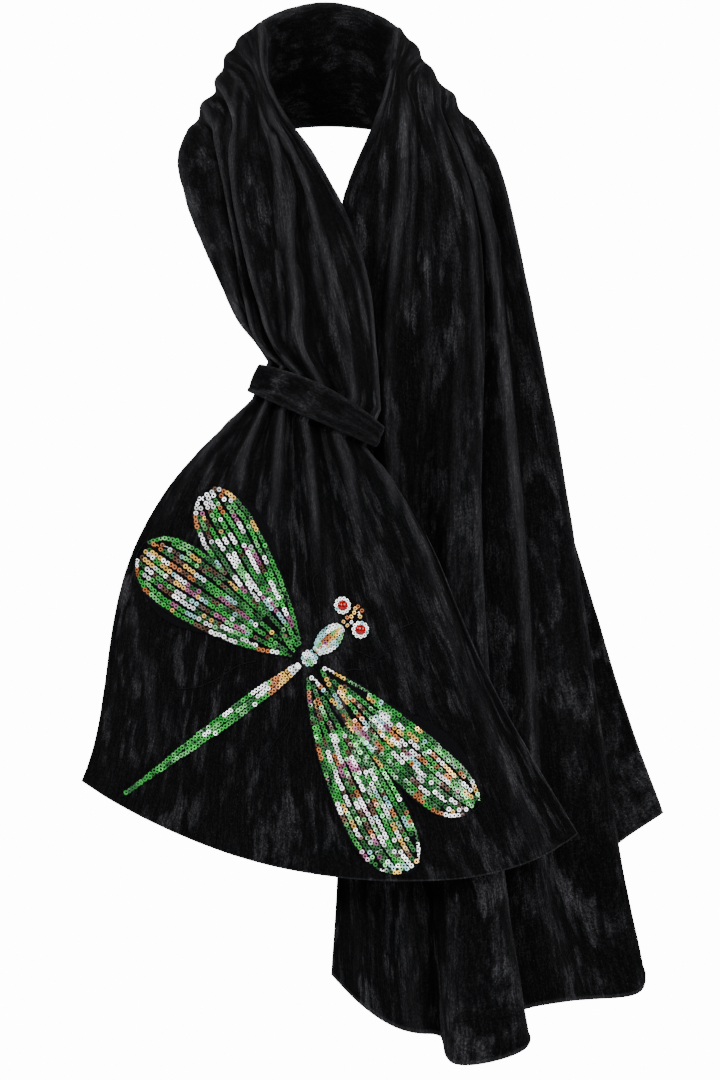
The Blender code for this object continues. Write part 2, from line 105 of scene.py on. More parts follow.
# The left stretch, shoulder to band, in the same way. Left of the neck's axis is negative.
LEFT_LEVELS = (60, 20, -20, -60, -110, -170, -225)
LEFT = (
    # fold         chest  across, at LEFT_LEVELS
    ("inner_edge", -18, (-60, -60, -48, -26, 2, 22, 32)),
    ("inner_wall", -10, (-62, -54, -30, -4, 22, 37, 43)),
    ("roll", 4, (-63, -45, -16, 7, 30, 44, 49)),
    ("fold_3", -6, (-66, -52, -28, -8, 13, 27, 36)),
    ("fold_4", 6, (-70, -58, -37, -22, -6, 6, 20)),
    ("fold_5", -7, (-73, -63, -44, -31, -26, -15, -8)),
    ("fold_6", 6, (-77, -68, -52, -42, -37, -31, -22)),
    ("fold_7", -9, (-82, -77, -70, -63, -56, -46, -36)),
    ("fold_8", 12, (-88, -95, -97, -96, -86, -70, -47)),
    ("fold_9", -8, (-90, -90, -88, -85, -78, -67, -49)),
    ("fold_10", 3, (-114, -121, -112, -104, -94, -83, -60)),
    ("fold_11", -20, (-103, -103, -96, -91, -83, -74, -57)),
    ("fold_12", -14, (-120, -146, -154, -147, -128, -101, -75)),
    ("outer_edge", -36, (-106, -118, -121, -114, -100, -82, -62)),
)

# The keeper band, a sewn loop that lies askew round the gathered cloth.
BAND_CENTRE = (-9.0, -276.0)
BAND_DEPTH = 150.0
BAND_TILT = math.radians(23.4)
BAND_TOP = -20.0
BAND_CROWN_ALONG = -15.0
BAND_ARCH = 0.0018
BAND_BOTTOM = 15.5
BAND_REACH = 20.5

# The gathers inside the band: place along the band and how far each fold stands out.
GATHERS = (
    # fold          along, out
    ("inner_edge", 28, -14),
    ("inner_wall", 46, -11),
    ("roll", 60, 0),
    ("fold_3", 43, 2),
    ("fold_4", 29, 14),
    ("fold_5", 10, -7),
    ("fold_6", -6, 15),
    ("fold_7", -19, -7),
    ("fold_8", -30, 15),
    ("fold_9", -38, -5),
    ("fold_10", -48, 10),
    ("fold_11", -50, -2),
    ("fold_12", -62, 1),
    ("outer_edge", -54, -11),
)

# The fanned end, band to hem: each fold's direction from straight down at the hem, its length
# from the band, how far it stands out at the hem, and how far its line bulges to the side.
# More haste puts the bulge nearer the band.
FAN = (
    # fold          degrees, radius, out, bulge, haste
    ("inner_edge", 31.3, 500, 2, 31, 4),
    ("inner_wall", 29.4, 502, -5, 23, 4),
    ("roll", 26.6, 502, 8, 14, 4),
    ("fold_3", 22.6, 500, -6, 4, 4),
    ("fold_4", 17.5, 493, 4, 0, 2),
    ("fold_5", 11.8, 483, -2, 0, 2),
    ("fold_6", 6.0, 474, 2, 0, 2),
    ("fold_7", 0.0, 466, -1, 0, 2),
    ("fold_8", -6.4, 459, 2, -4, 2),
    ("fold_9", -12.6, 453, -1, -8, 2),
    ("fold_10", -17.8, 449, -7, -18, 2),
    ("fold_11", -22.8, 446, 2, -28, 2),
    ("fold_12", -27.8, 444, 6, -42, 2),
    ("outer_edge", -32.2, 443, -2, -57, 1.8),
)
FAN_DEPTH = 160.0
FAN_ROUNDING = 0.0009

# How finely the cloth is cut up: steps between two fold lines, and extra steps at a free edge.
PER_SPAN = 11
ROUNDING_PASSES = 13
EDGE_STEPS = (0.02, 0.045, 0.075)

# The cloth's wall: its full thickness in the rolled edge, and its share elsewhere.
EDGE_WALL = 4.4
FIELD_SHARE = 0.6
SHARP_DEGREES = 50.0
# In from a free edge: how far it is rounded, how wide its roll is, and the groove of its seam.
EDGE_ROUNDING = 2.2
ROLL_WIDTH = 4.5
ROLL_FADE = 5.0
SEAM_PLACE = 9.5
SEAM_HALF_WIDTH = 1.5
SEAM_GROOVE = 0.12
# The last rows before a hem, as shares of the stretch's length above it.
HEM_ROWS_START = 0.985
HEM_ROWS = (0.010, 0.006, 0.0035, 0.002, 0.001)
# The whole scarf's width as cut, in metres.
CLOTH_WIDTH = 0.6
# Small dents, coarse and fine: their share of the depth, and their size across and down.
DENTS = ((1.0, 21.0, 60.0), (0.5, 9.0, 26.0))

# The bend, in turns of the surface a millimetre, at which a fold's ridge gets the full painted highlight.
RIDGE_BEND = 0.2
# The painted highlight along hems and free edges, as a share of the full painted highlight on a sharp ridge.
HEM_SHINE = 0.75

# Where the sewn dragonfly's body is on the fan, and how it leans.
MOTIF_CENTRE = (-17.0, -527.0)
BODY_LEAN = 45.0
TAIL_LEAN = 53.6

# The felt below the sequins, and how far sequins, cord and thread lie above what carries them.
FELT_LIFT = 0.5
FELT_WALL = 0.9
FELT_STEP = 3.5
SEQUIN_LIFT = 0.35
SMALL_RING = 0.82
BODY_CORD_RADIUS = 0.55
BODY_CORD_LIFT = 0.9
BODY_CORD_OUTSET = 0.2
WING_CORD_RADIUS = 0.6
WING_CORD_LIFT = 0.8
WING_CORD_OUTSET = 0.5
LEG_RADIUS = 0.6
LEG_LIFT = 0.6
# How wide the sequined part of a wing is from its root to its tip.
WING_SHARES = (0.0, 0.1, 0.2, 0.3, 0.4, 0.5, 0.62, 0.75, 0.86, 0.93, 0.97, 0.99, 1.0)
WING_WIDTHS = (0.08, 0.33, 0.54, 0.69, 0.81, 0.9, 0.97, 1.0, 0.92, 0.73, 0.49, 0.3, 0.1)


class Held(Enum):
    """How a stretch of the scarf is held."""

    DRAPED = "draped"
    GATHERED = "gathered"


class Part(Enum):
    """The stretches of the scarf, by the node that each stands for."""

    RIGHT_FALL = "right_fall"
    NECK_WRAP = "neck_wrap"
    LEFT_FALL = "left_fall"
    FAN_END = "fan_end"


def smooth_step(share: np.ndarray | float) -> np.ndarray:
    """0 at 0 and 1 at 1, level at both ends."""
    share = np.clip(share, 0.0, 1.0)
    return share * share * (3 - 2 * share)


def signed_power(value: float, power: float) -> float:
    """A power of a number's size, with the number's own sign."""
    return math.copysign(abs(value) ** power, value)


def smooth_curve(knots: np.ndarray, values: np.ndarray, at: np.ndarray) -> np.ndarray:
    """Reads one smooth curve between values given at knots.

    Args:
        knots: Rising places where the values are given.
        values: A number or a point for each knot.
        at: The places to read.

    Returns:
        The curve's value at each place.
    """
    knots = np.asarray(knots, float)
    values = np.asarray(values, float)
    spans = np.diff(knots)
    wide = spans.reshape((-1,) + (1,) * (values.ndim - 1))
    rises = np.diff(values, axis=0) / wide
    slopes = np.empty_like(values)
    slopes[0] = rises[0]
    slopes[-1] = rises[-1]
    slopes[1:-1] = (rises[:-1] * wide[1:] + rises[1:] * wide[:-1]) / (wide[:-1] + wide[1:])
    at = np.asarray(at, float)
    index = np.clip(np.searchsorted(knots, at, side="right") - 1, 0, len(spans) - 1)
    share = ((at - knots[index]) / spans[index]).reshape(at.shape + (1,) * (values.ndim - 1))
    span = spans[index].reshape(share.shape)
    start = (2 * share**3 - 3 * share**2 + 1) * values[index]
    start_slope = (share**3 - 2 * share**2 + share) * span * slopes[index]
    end = (3 * share**2 - 2 * share**3) * values[index + 1]
    end_slope = (share**3 - share**2) * span * slopes[index + 1]
    return start + start_slope + end + end_slope


def chest_depth(across: np.ndarray) -> np.ndarray:
    """The depth of plain cloth on the chest, which rounds away to both sides."""
    return CHEST_DEPTH - CHEST_ROUNDING * across**2


def shoulder_arc(side_height: float, height: np.ndarray) -> np.ndarray:
    """0 where a fold line passes the side of the neck, and 1 where it has come to the chest."""
    drop = max(side_height - CHEST_LEVEL, LEAST_SHOULDER_DROP)
    share = np.clip((side_height - height) / drop, 0.0, 1.0)
    return np.sqrt(1 - (1 - share) ** 2)


def opening_out(height: np.ndarray) -> np.ndarray:
    """How far the folds have opened: not at all on the shoulder, and wholly on the chest."""
    return smooth_step((FOLDS_START - height) / (FOLDS_START - FOLDS_OPEN))


def fall_line(
    side: tuple[float, float],
    levels: tuple[float, ...],
    across: tuple[float, ...],
    end: tuple[float, float],
    shares: np.ndarray,
) -> tuple[np.ndarray, np.ndarray]:
    """Follows a fold line from the side of the neck to its lower end.

    Args:
        side: The distance across and the height where the line passes the neck's side.
        levels: The heights at which its distance across is known.
        across: Its distance across at those heights.
        end: The distance across and the height at its lower end.
        shares: How far down each point lies, from 0 to 1.

    Returns:
        The distances across and the heights of the points.
    """
    kept = [(z, x) for z, x in zip(levels, across) if end[1] + 12 < z < side[1] - 12]
    heights = np.array([side[1]] + [z for z, _ in kept] + [end[1]], float)
    places = np.array([side[0]] + [x for _, x in kept] + [end[0]], float)
    z = side[1] + (end[1] - side[1]) * shares**1.6
    return smooth_curve(-heights, places, -z), z


def band_place(along: float, below: float) -> tuple[float, float]:
    """The point (x, z) at a distance along the band and below its middle line."""
    x = BAND_CENTRE[0] + along * math.cos(BAND_TILT) - below * math.sin(BAND_TILT)
    z = BAND_CENTRE[1] - along * math.sin(BAND_TILT) - below * math.cos(BAND_TILT)
    return x, z


def gather_point(fold: int, below: float) -> tuple[float, float, float]:
    """Finds a fold line's place in the band.

    Args:
        fold: Which fold line, counted from the inner edge.
        below: The distance below the band's middle line.

    Returns:
        The distance across, the height and how far the fold stands out.
    """
    _, along, out = GATHERS[fold]
    return (*band_place(along, below), out)


def gather_row() -> np.ndarray:
    """The fold points in the middle of the band."""
    points = []
    for fold in range(len(GATHERS)):
        x, z, out = gather_point(fold, 0)
        points.append((x, -(BAND_DEPTH + out), z))
    return np.array([points])


def surface_normals(points: np.ndarray) -> np.ndarray:
    """The unit normal at each point of a grid of points."""
    along = np.gradient(points, axis=0)
    across = np.gradient(points, axis=1)
    normals = np.cross(across, along)
    return normals / np.maximum(np.linalg.norm(normals, axis=-1, keepdims=True), 1e-9)


def sharp_ridges(points: np.ndarray, normals: np.ndarray) -> np.ndarray:
    """How sharply a surface bends outward at each point: 0 where it is flat or hollow.

    Args:
        points: The surface's points, row by row; the bend is taken along each row.
        normals: The way it faces at each point.

    Returns:
        A value from 0 to 1 for each point.
    """
    steps = np.linalg.norm(np.diff(points, axis=1), axis=-1)
    near = np.maximum((steps[:, :-1] + steps[:, 1:]) / 2, 0.4)
    bend = points[:, :-2] - 2 * points[:, 1:-1] + points[:, 2:]
    curve = -(bend * normals[:, 1:-1]).sum(axis=-1) / near**2
    ridge = np.zeros(points.shape[:-1])
    ridge[:, 1:-1] = smooth_step(curve / RIDGE_BEND)
    ridge[:, 1:-1] = (ridge[:, :-2] + 2 * ridge[:, 1:-1] + ridge[:, 2:]) / 4
    return ridge


def lengths_along(points: np.ndarray, axis: int) -> np.ndarray:
    """The length of cloth from the first point of each row or column to every point of it."""
    steps = np.linalg.norm(np.diff(points, axis=axis), axis=-1)
    start = np.zeros_like(np.take(steps, [0], axis=axis))
    return np.concatenate([start, np.cumsum(steps, axis=axis)], axis=axis)


def distance_to_line(points: np.ndarray, line: tuple, ends: float) -> tuple[np.ndarray, np.ndarray]:
    """Measures points against a drawn line, as seen from the front.

    Args:
        points: Points (x, y, z).
        line: The line's points (x, z).
        ends: The share of the line's length over which it fades at each end.

    Returns:
        Each point's distance from the line, and the line's strength beside it.
    """
    flat = points[..., (0, 2)]
    corners = np.array(line, float)
    runs = np.linalg.norm(np.diff(corners, axis=0), axis=1)
    before = np.concatenate([[0], np.cumsum(runs)])
    nearest = np.full(flat.shape[:-1], 1e9)
    place = np.zeros(flat.shape[:-1])
    for first, second, run, start in zip(corners, corners[1:], runs, before):
        direction = (second - first) / run
        along = np.clip((flat - first) @ direction, 0, run)
        apart = np.linalg.norm(flat - first - along[..., None] * direction, axis=-1)
        closer = apart < nearest
        nearest = np.where(closer, apart, nearest)
        place = np.where(closer, (start + along) / before[-1], place)
    strength = smooth_step(place / ends) * smooth_step((1 - place) / ends)
    return nearest, strength


@dataclass(frozen=True)
class Crease:
    """A soft ridge or trough: its height, its half width and its line (x, z) from the front."""

    height: float
    half_width: float
    line: tuple[tuple[float, float], ...]
    ends: float = 0.3

    def press(self, points: np.ndarray) -> np.ndarray:
        """How far this crease moves each point out of the cloth."""
        apart, strength = distance_to_line(points, self.line, self.ends)
        return self.height * strength * np.exp(-((apart / self.half_width) ** 2))


def mesh_from_bmesh(name: str, shape: bmesh.types.BMesh) -> bpy.types.Mesh:
    """Makes a smooth-shaded mesh from a bmesh, and frees the bmesh."""
    mesh = bpy.data.meshes.new(name)
    shape.to_mesh(mesh)
    shape.free()
    mesh.shade_smooth()
    return mesh


def weld(mesh: bpy.types.Mesh, turn_outward: bool) -> None:
    """Joins the points of a mesh that lie in one place.

    Args:
        mesh: The mesh, which is changed.
        turn_outward: Whether its faces are turned to the outside too.
    """
    shape = bmesh.new()
    shape.from_mesh(mesh)
    bmesh.ops.remove_doubles(shape, verts=shape.verts, dist=0.01 * MM)
    if turn_outward:
        bmesh.ops.recalc_face_normals(shape, faces=shape.faces)
    shape.to_mesh(mesh)
    shape.free()
    mesh.shade_smooth()


def write_ridge_highlight(mesh: bpy.types.Mesh, ridges: np.ndarray) -> None:
    """Stores how sharply the surface bends at each point, for the velvet to paint as a highlight."""
    layer = mesh.attributes.new("ridge", "FLOAT", "POINT")
    layer.data.foreach_set("value", ridges.astype(np.float32).ravel())


def add_object(name: str, data: bpy.types.ID) -> bpy.types.Object:
    """Adds an object with its data to the scene."""
    added = bpy.data.objects.new(name, data)
    bpy.context.scene.collection.objects.link(added)
    return added


def add_piece(name: str, mesh: bpy.types.Mesh, finish: bpy.types.Material) -> bpy.types.Object:
    """Adds a finished mesh to the scene as one piece, dressed in its material."""
    mesh.materials.clear()
    mesh.materials.append(finish)
    return add_object(name, mesh)


def settle(piece: bpy.types.Object) -> None:
    """Turns a piece's modifiers into its mesh."""
    bpy.context.view_layer.update()
    graph = bpy.context.evaluated_depsgraph_get()
    mesh = bpy.data.meshes.new_from_object(piece.evaluated_get(graph))
    piece.modifiers.clear()
    piece.data = mesh
    mesh.shade_smooth()
    mesh.set_sharp_from_angle(angle=math.radians(SHARP_DEGREES))


def grid_mesh(name: str, points: np.ndarray, cloth: np.ndarray | None = None) -> bpy.types.Mesh:
    """Moves a grid of faces onto rows of points.

    Args:
        name: The mesh's name.
        points: The rows of points, in millimetres.
        cloth: Where each point lies on the flat cloth, in metres, for the piece's UV map.

    Returns:
        The mesh, in metres.
    """
    rows, columns = points.shape[0] - 1, points.shape[1] - 1
    shape = bmesh.new()
    bmesh.ops.create_grid(shape, x_segments=columns, y_segments=rows, size=0.5)
    mesh = mesh_from_bmesh(name, shape)
    flat = np.empty(len(mesh.vertices) * 3, np.float32)
    mesh.vertices.foreach_get("co", flat)
    flat = flat.reshape(-1, 3)
    column = np.rint((flat[:, 0] + 0.5) * columns).astype(int)
    row = np.rint((flat[:, 1] + 0.5) * rows).astype(int)
    mesh.vertices.foreach_set("co", (points[row, column] * MM).astype(np.float32).ravel())
    if cloth is not None:
        corners = np.empty(len(mesh.loops), np.int32)
        mesh.loops.foreach_get("vertex_index", corners)
        layer = mesh.uv_layers.new(name="cloth")
        layer.data.foreach_set("uv", cloth[row, column][corners].astype(np.float32).ravel())
    mesh.update()
    return mesh


class Wiring:
    """Places and joins the nodes of one node tree."""

    def __init__(self, tree: bpy.types.NodeTree) -> None:
        """Starts on a node tree."""
        self.tree = tree

    def add(self, kind: str, **settings: object) -> bpy.types.Node:
        """Adds a node of a kind, with settings of its own."""
        node = self.tree.nodes.new(kind)
        for name, value in settings.items():
            setattr(node, name, value)
        return node

    def join(self, target: bpy.types.NodeSocket, source: object) -> None:
        """Joins a source to a socket, or sets the socket where the source is a plain value."""
        if isinstance(source, bpy.types.NodeSocket):
            self.tree.links.new(source, target)
        else:
            target.default_value = source

    def fill(self, node: bpy.types.Node, sources: dict[str | int, object]) -> bpy.types.Node:
        """Joins or sets several inputs of a node, each by its name or number."""
        for name, source in sources.items():
            self.join(node.inputs[name], source)
        return node

    def math(self, operation: str, *inputs: object) -> bpy.types.NodeSocket:
        """A Math node on sockets or numbers."""
        node = self.add("ShaderNodeMath", operation=operation)
        return self.fill(node, dict(enumerate(inputs))).outputs[0]

    def times(self, first: object, second: object) -> bpy.types.NodeSocket:
        """The product of two sockets or numbers."""
        return self.math("MULTIPLY", first, second)

    def plus(self, first: object, second: object) -> bpy.types.NodeSocket:
        """The sum of two sockets or numbers."""
        return self.math("ADD", first, second)

    def line(self, value: object, slope: float, start: float) -> bpy.types.NodeSocket:
        """A value times a slope, on top of a start."""
        return self.plus(self.times(value, slope), start)

    def between(self, value: object, low: float, high: float) -> bpy.types.NodeSocket:
        """A soft step from 0 to 1 as a value goes from low to high."""
        node = self.add("ShaderNodeMapRange", interpolation_type="SMOOTHSTEP")
        return self.fill(node, {"Value": value, "From Min": low, "From Max": high}).outputs[0]

    def point(self, *parts: object) -> bpy.types.NodeSocket:
        """A vector of three sockets or numbers."""
        return self.fill(self.add("ShaderNodeCombineXYZ"), dict(enumerate(parts))).outputs[0]

    def parts(self, kind: str, source: object) -> bpy.types.NodeOutputs:
        """The parts of a vector, kind XYZ, or of a colour, kind Color."""
        return self.fill(self.add("ShaderNodeSeparate" + kind), {0: source}).outputs

    def own_place(self) -> bpy.types.NodeSocket:
        """The place in the piece's own coordinates."""
        return self.add("ShaderNodeTexCoord").outputs["Object"]

    def noise(self, place: object, scale: float, detail: float, rough: float = 0.5) -> object:
        """Soft noise read at a place, as a socket."""
        sources = {"Vector": place, "Scale": scale, "Detail": detail, "Roughness": rough}
        return self.fill(self.add("ShaderNodeTexNoise"), sources).outputs["Fac"]

    def bump(self, height: object, strength: float, distance: float) -> bpy.types.NodeSocket:
        """The way the surface faces, tilted by a height."""
        sources = {"Height": height, "Strength": strength, "Distance": distance}
        return self.fill(self.add("ShaderNodeBump"), sources).outputs[0]

    def blend(self, share: object, first: object, second: object, way: str = "MIX") -> object:
        """A colour between two others, as a socket."""
        node = self.add("ShaderNodeMix", data_type="RGBA", blend_type=way)
        self.join(node.inputs["Factor"], share)
        colours = [socket for socket in node.inputs if socket.type == "RGBA"]
        for socket, colour in zip(colours, (first, second)):
            self.join(socket, colour)
        return next(socket for socket in node.outputs if socket.type == "RGBA")


def new_finish(name: str) -> tuple[bpy.types.Material, Wiring, bpy.types.Node]:
    """Starts a material.

    Args:
        name: Its name.

    Returns:
        The material, the wiring of its nodes, and its shader.
    """
    finish = bpy.data.materials.new(name)
    finish.use_nodes = True
    return finish, Wiring(finish.node_tree), finish.node_tree.nodes["Principled BSDF"]


def crushed_pile_group() -> bpy.types.NodeTree:
    """Builds the effect that every velvet shares: pile pressed flat in long streaks and patches.

    Returns:
        A shader node group that reads a place on the cloth, in metres, and how sharply the cloth
        is bent there, and puts out how flat the pile lies with a painted highlight on bent ridges
        and edges added, and the height of its surface.
    """
    tree = bpy.data.node_groups.new("crushed_pile", "ShaderNodeTree")
    face = tree.interface
    face.new_socket(name="Cloth", in_out="INPUT", socket_type="NodeSocketVector")
    sizes = (
        ("Ridge Highlight", 0.0),
        ("Streak Width", 0.0017),
        ("Streak Length", 0.022),
        ("Patch Width", 0.015),
        ("Patch Length", 0.05),
    )
    for name, value in sizes:
        socket = face.new_socket(name=name, in_out="INPUT", socket_type="NodeSocketFloat")
        socket.default_value = value
    face.new_socket(name="Pile And Highlight", in_out="OUTPUT", socket_type="NodeSocketFloat")
    face.new_socket(name="Height", in_out="OUTPUT", socket_type="NodeSocketFloat")
    wiring = Wiring(tree)
    given = wiring.add("NodeGroupInput").outputs
    across, along = wiring.parts("XYZ", given["Cloth"])[:2]
    wander = wiring.noise(wiring.point(across, along, 4.2), 14.0, 1.0)
    across = wiring.plus(across, wiring.times(wiring.math("SUBTRACT", wander, 0.5), 0.012))
    streak_x = wiring.math("DIVIDE", across, given["Streak Width"])
    streak_y = wiring.math("DIVIDE", along, given["Streak Length"])
    patch_x = wiring.math("DIVIDE", across, given["Patch Width"])
    patch_y = wiring.math("DIVIDE", along, given["Patch Length"])
    # Long streaks down the cloth, and a short grain within them.
    streaks = wiring.noise(wiring.point(streak_x, streak_y, 1.7), 1.0, 3.0, 0.6)
    grain_x, grain_y = wiring.times(streak_x, 1.5), wiring.times(streak_y, 10.0)
    grain = wiring.noise(wiring.point(grain_x, grain_y, 8.4), 1.0, 2.0, 0.6)
    streaked = wiring.line(wiring.between(streaks, 0.42, 0.64), 0.6, 0.4)
    mottle = wiring.line(wiring.between(grain, 0.4, 0.64), 0.85, 0.3)
    texture = wiring.times(streaked, mottle)
    # Patches with ragged ends, each pressed by its own amount, within larger calm and crushed parts.
    broad = wiring.noise(wiring.point(patch_x, patch_y, 2.5), 1.0, 2.0, 0.6)
    broad = wiring.between(broad, 0.48, 0.65)
    ragged = wiring.noise(wiring.point(streak_x, patch_y, 2.5), 0.8, 2.0)
    ragged_y = wiring.plus(patch_y, wiring.times(ragged, 0.3))
    cells = wiring.add("ShaderNodeTexVoronoi", distance="CHEBYCHEV")
    wiring.fill(cells, {"Vector": wiring.point(patch_x, ragged_y, 0.4), "Scale": 0.8})
    patches = wiring.line(wiring.parts("Color", cells.outputs["Color"])[0], 0.7, 0.3)
    large = wiring.noise(wiring.point(across, along, 6.1), 11.0, 2.0)
    large = wiring.line(wiring.between(large, 0.34, 0.6), 0.7, 0.3)
    body = wiring.plus(wiring.times(wiring.times(broad, patches), large), 0.1)
    # Painted highlight on sharp ridges, hems and edges, broken up by the pile's texture, and bright specks
    # where the pile is pressed most.
    painted_ridge_highlight = wiring.times(given["Ridge Highlight"], wiring.plus(texture, 0.35))
    pile = wiring.plus(wiring.times(texture, body), wiring.times(painted_ridge_highlight, 0.42))
    specks = wiring.noise(wiring.point(grain_x, grain_y, 3.3), 0.9, 1.0)
    specks = wiring.times(wiring.between(specks, 0.67, 0.75), body)
    pile = wiring.math("MINIMUM", wiring.plus(pile, wiring.times(specks, 2.0)), 2.0)
    height = wiring.plus(wiring.times(streaks, 0.5), wiring.times(grain, 0.35))
    wiring.fill(wiring.add("NodeGroupOutput"), {"Pile And Highlight": pile, "Height": height})
    return tree


@dataclass(frozen=True)
class Velvet:
    """Black crushed velvet: its pile upright and pressed flat, and its sheen."""

    name: str
    upright: tuple[float, float, float, float] = (0.0002, 0.0002, 0.00025, 1.0)
    pressed: tuple[float, float, float, float] = (0.0205, 0.0205, 0.0228, 1.0)
    sheen: float = 0.028
    sheen_roughness: float = 0.3
    sheen_tint: tuple[float, float, float, float] = (0.4, 0.4, 0.45, 1.0)
    specular: float = 0.02
    bump: float = 0.6
    streak_width: float = 0.0017
    streak_length: float = 0.022
    patch_width: float = 0.015
    patch_length: float = 0.05
    roughness: float = 0.92
    pressed_gloss: float = 0.4
    pile_height: float = 0.0012

    def make(self, pile_effect: bpy.types.NodeTree) -> bpy.types.Material:
        """Builds the material.

        Args:
            pile_effect: The crushed pile node group.

        Returns:
            The finished material.
        """
        finish, wiring, shader = new_finish(self.name)
        effect = wiring.add("ShaderNodeGroup", node_tree=pile_effect)
        sources = {
            "Cloth": wiring.add("ShaderNodeUVMap", uv_map="cloth").outputs[0],
            "Ridge Highlight": wiring.add("ShaderNodeAttribute", attribute_name="ridge").outputs["Fac"],
            "Streak Width": self.streak_width,
            "Streak Length": self.streak_length,
            "Patch Width": self.patch_width,
            "Patch Length": self.patch_length,
        }
        # The pile is the crushed pattern plus a painted highlight on ridges, hems and edges; it lightens the
        # colour towards the pressed one and smooths the roughness.
        pile = wiring.fill(effect, sources).outputs["Pile And Highlight"]
        looks = {
            "Base Color": wiring.blend(pile, self.upright, self.pressed),
            "Roughness": wiring.line(pile, -self.pressed_gloss, self.roughness),
            "Normal": wiring.bump(effect.outputs["Height"], self.bump, self.pile_height),
            "Specular IOR Level": self.specular,
            "Sheen Weight": self.sheen,
            "Sheen Roughness": self.sheen_roughness,
            "Sheen Tint": self.sheen_tint,
        }
        wiring.fill(shader, looks)
        return finish


@dataclass(frozen=True)
class SequinFoil:
    """Glossy sequin foil whose colour comes from each sequin's own tint."""

    name: str
    roughness: float = 0.26
    metallic: float = 0.4
    coat: float = 0.4
    coat_roughness: float = 0.12
    film: tuple[float, float, float, float] = (0.55, 0.62, 0.7, 1.0)
    film_strength: float = 0.35

    def make(self) -> bpy.types.Material:
        """Builds the material."""
        finish, wiring, shader = new_finish(self.name)
        tint = wiring.add("ShaderNodeAttribute", attribute_name="tint").outputs["Color"]
        film = wiring.between(wiring.noise(wiring.own_place(), 420.0, 1.0), 0.35, 0.7)
        darker = wiring.times(film, self.film_strength)
        white = wiring.between(wiring.parts("Color", tint)[0], 0.6, 0.85)
        looks = {
            "Base Color": wiring.blend(darker, tint, self.film, "MULTIPLY"),
            "Roughness": wiring.line(film, 0.15, self.roughness),
            "Metallic": wiring.line(white, -self.metallic, self.metallic),
            "Coat Weight": self.coat,
            "Coat Roughness": self.coat_roughness,
        }
        wiring.fill(shader, looks)
        return finish


@dataclass(frozen=True)
class Bead:
    """A clear glossy bead, clouded between its colour and a deeper one."""

    name: str
    colour: tuple[float, float, float, float]
    deep: tuple[float, float, float, float]

    def make(self) -> bpy.types.Material:
        """Builds the material."""
        finish, wiring, shader = new_finish(self.name)
        cloudy = wiring.between(wiring.noise(wiring.own_place(), 500.0, 2.0), 0.3, 0.7)
        looks = {
            "Base Color": wiring.blend(cloudy, self.deep, self.colour),
            "Roughness": wiring.line(cloudy, 0.12, 0.1),
            "Specular IOR Level": 0.15,
            "Coat Weight": 0.08,
            "Coat Roughness": 0.05,
        }
        wiring.fill(shader, looks)
        return finish


@dataclass(frozen=True)
class Thread:
    """Matt twisted sewing thread or felt."""

    name: str
    colour: tuple[float, float, float, float]
    lighter: tuple[float, float, float, float]
    twist: float

    def make(self) -> bpy.types.Material:
        """Builds the material."""
        finish, wiring, shader = new_finish(self.name)
        fibre = wiring.noise(wiring.own_place(), self.twist, 2.0, 0.6)
        looks = {
            "Base Color": wiring.blend(wiring.between(fibre, 0.4, 0.7), self.colour, self.lighter),
            "Roughness": wiring.line(fibre, 0.25, 0.7),
            "Normal": wiring.bump(fibre, 0.6, 0.0003),
            "Sheen Weight": 0.004,
            "Specular IOR Level": 0.015,
        }
        wiring.fill(shader, looks)
        return finish


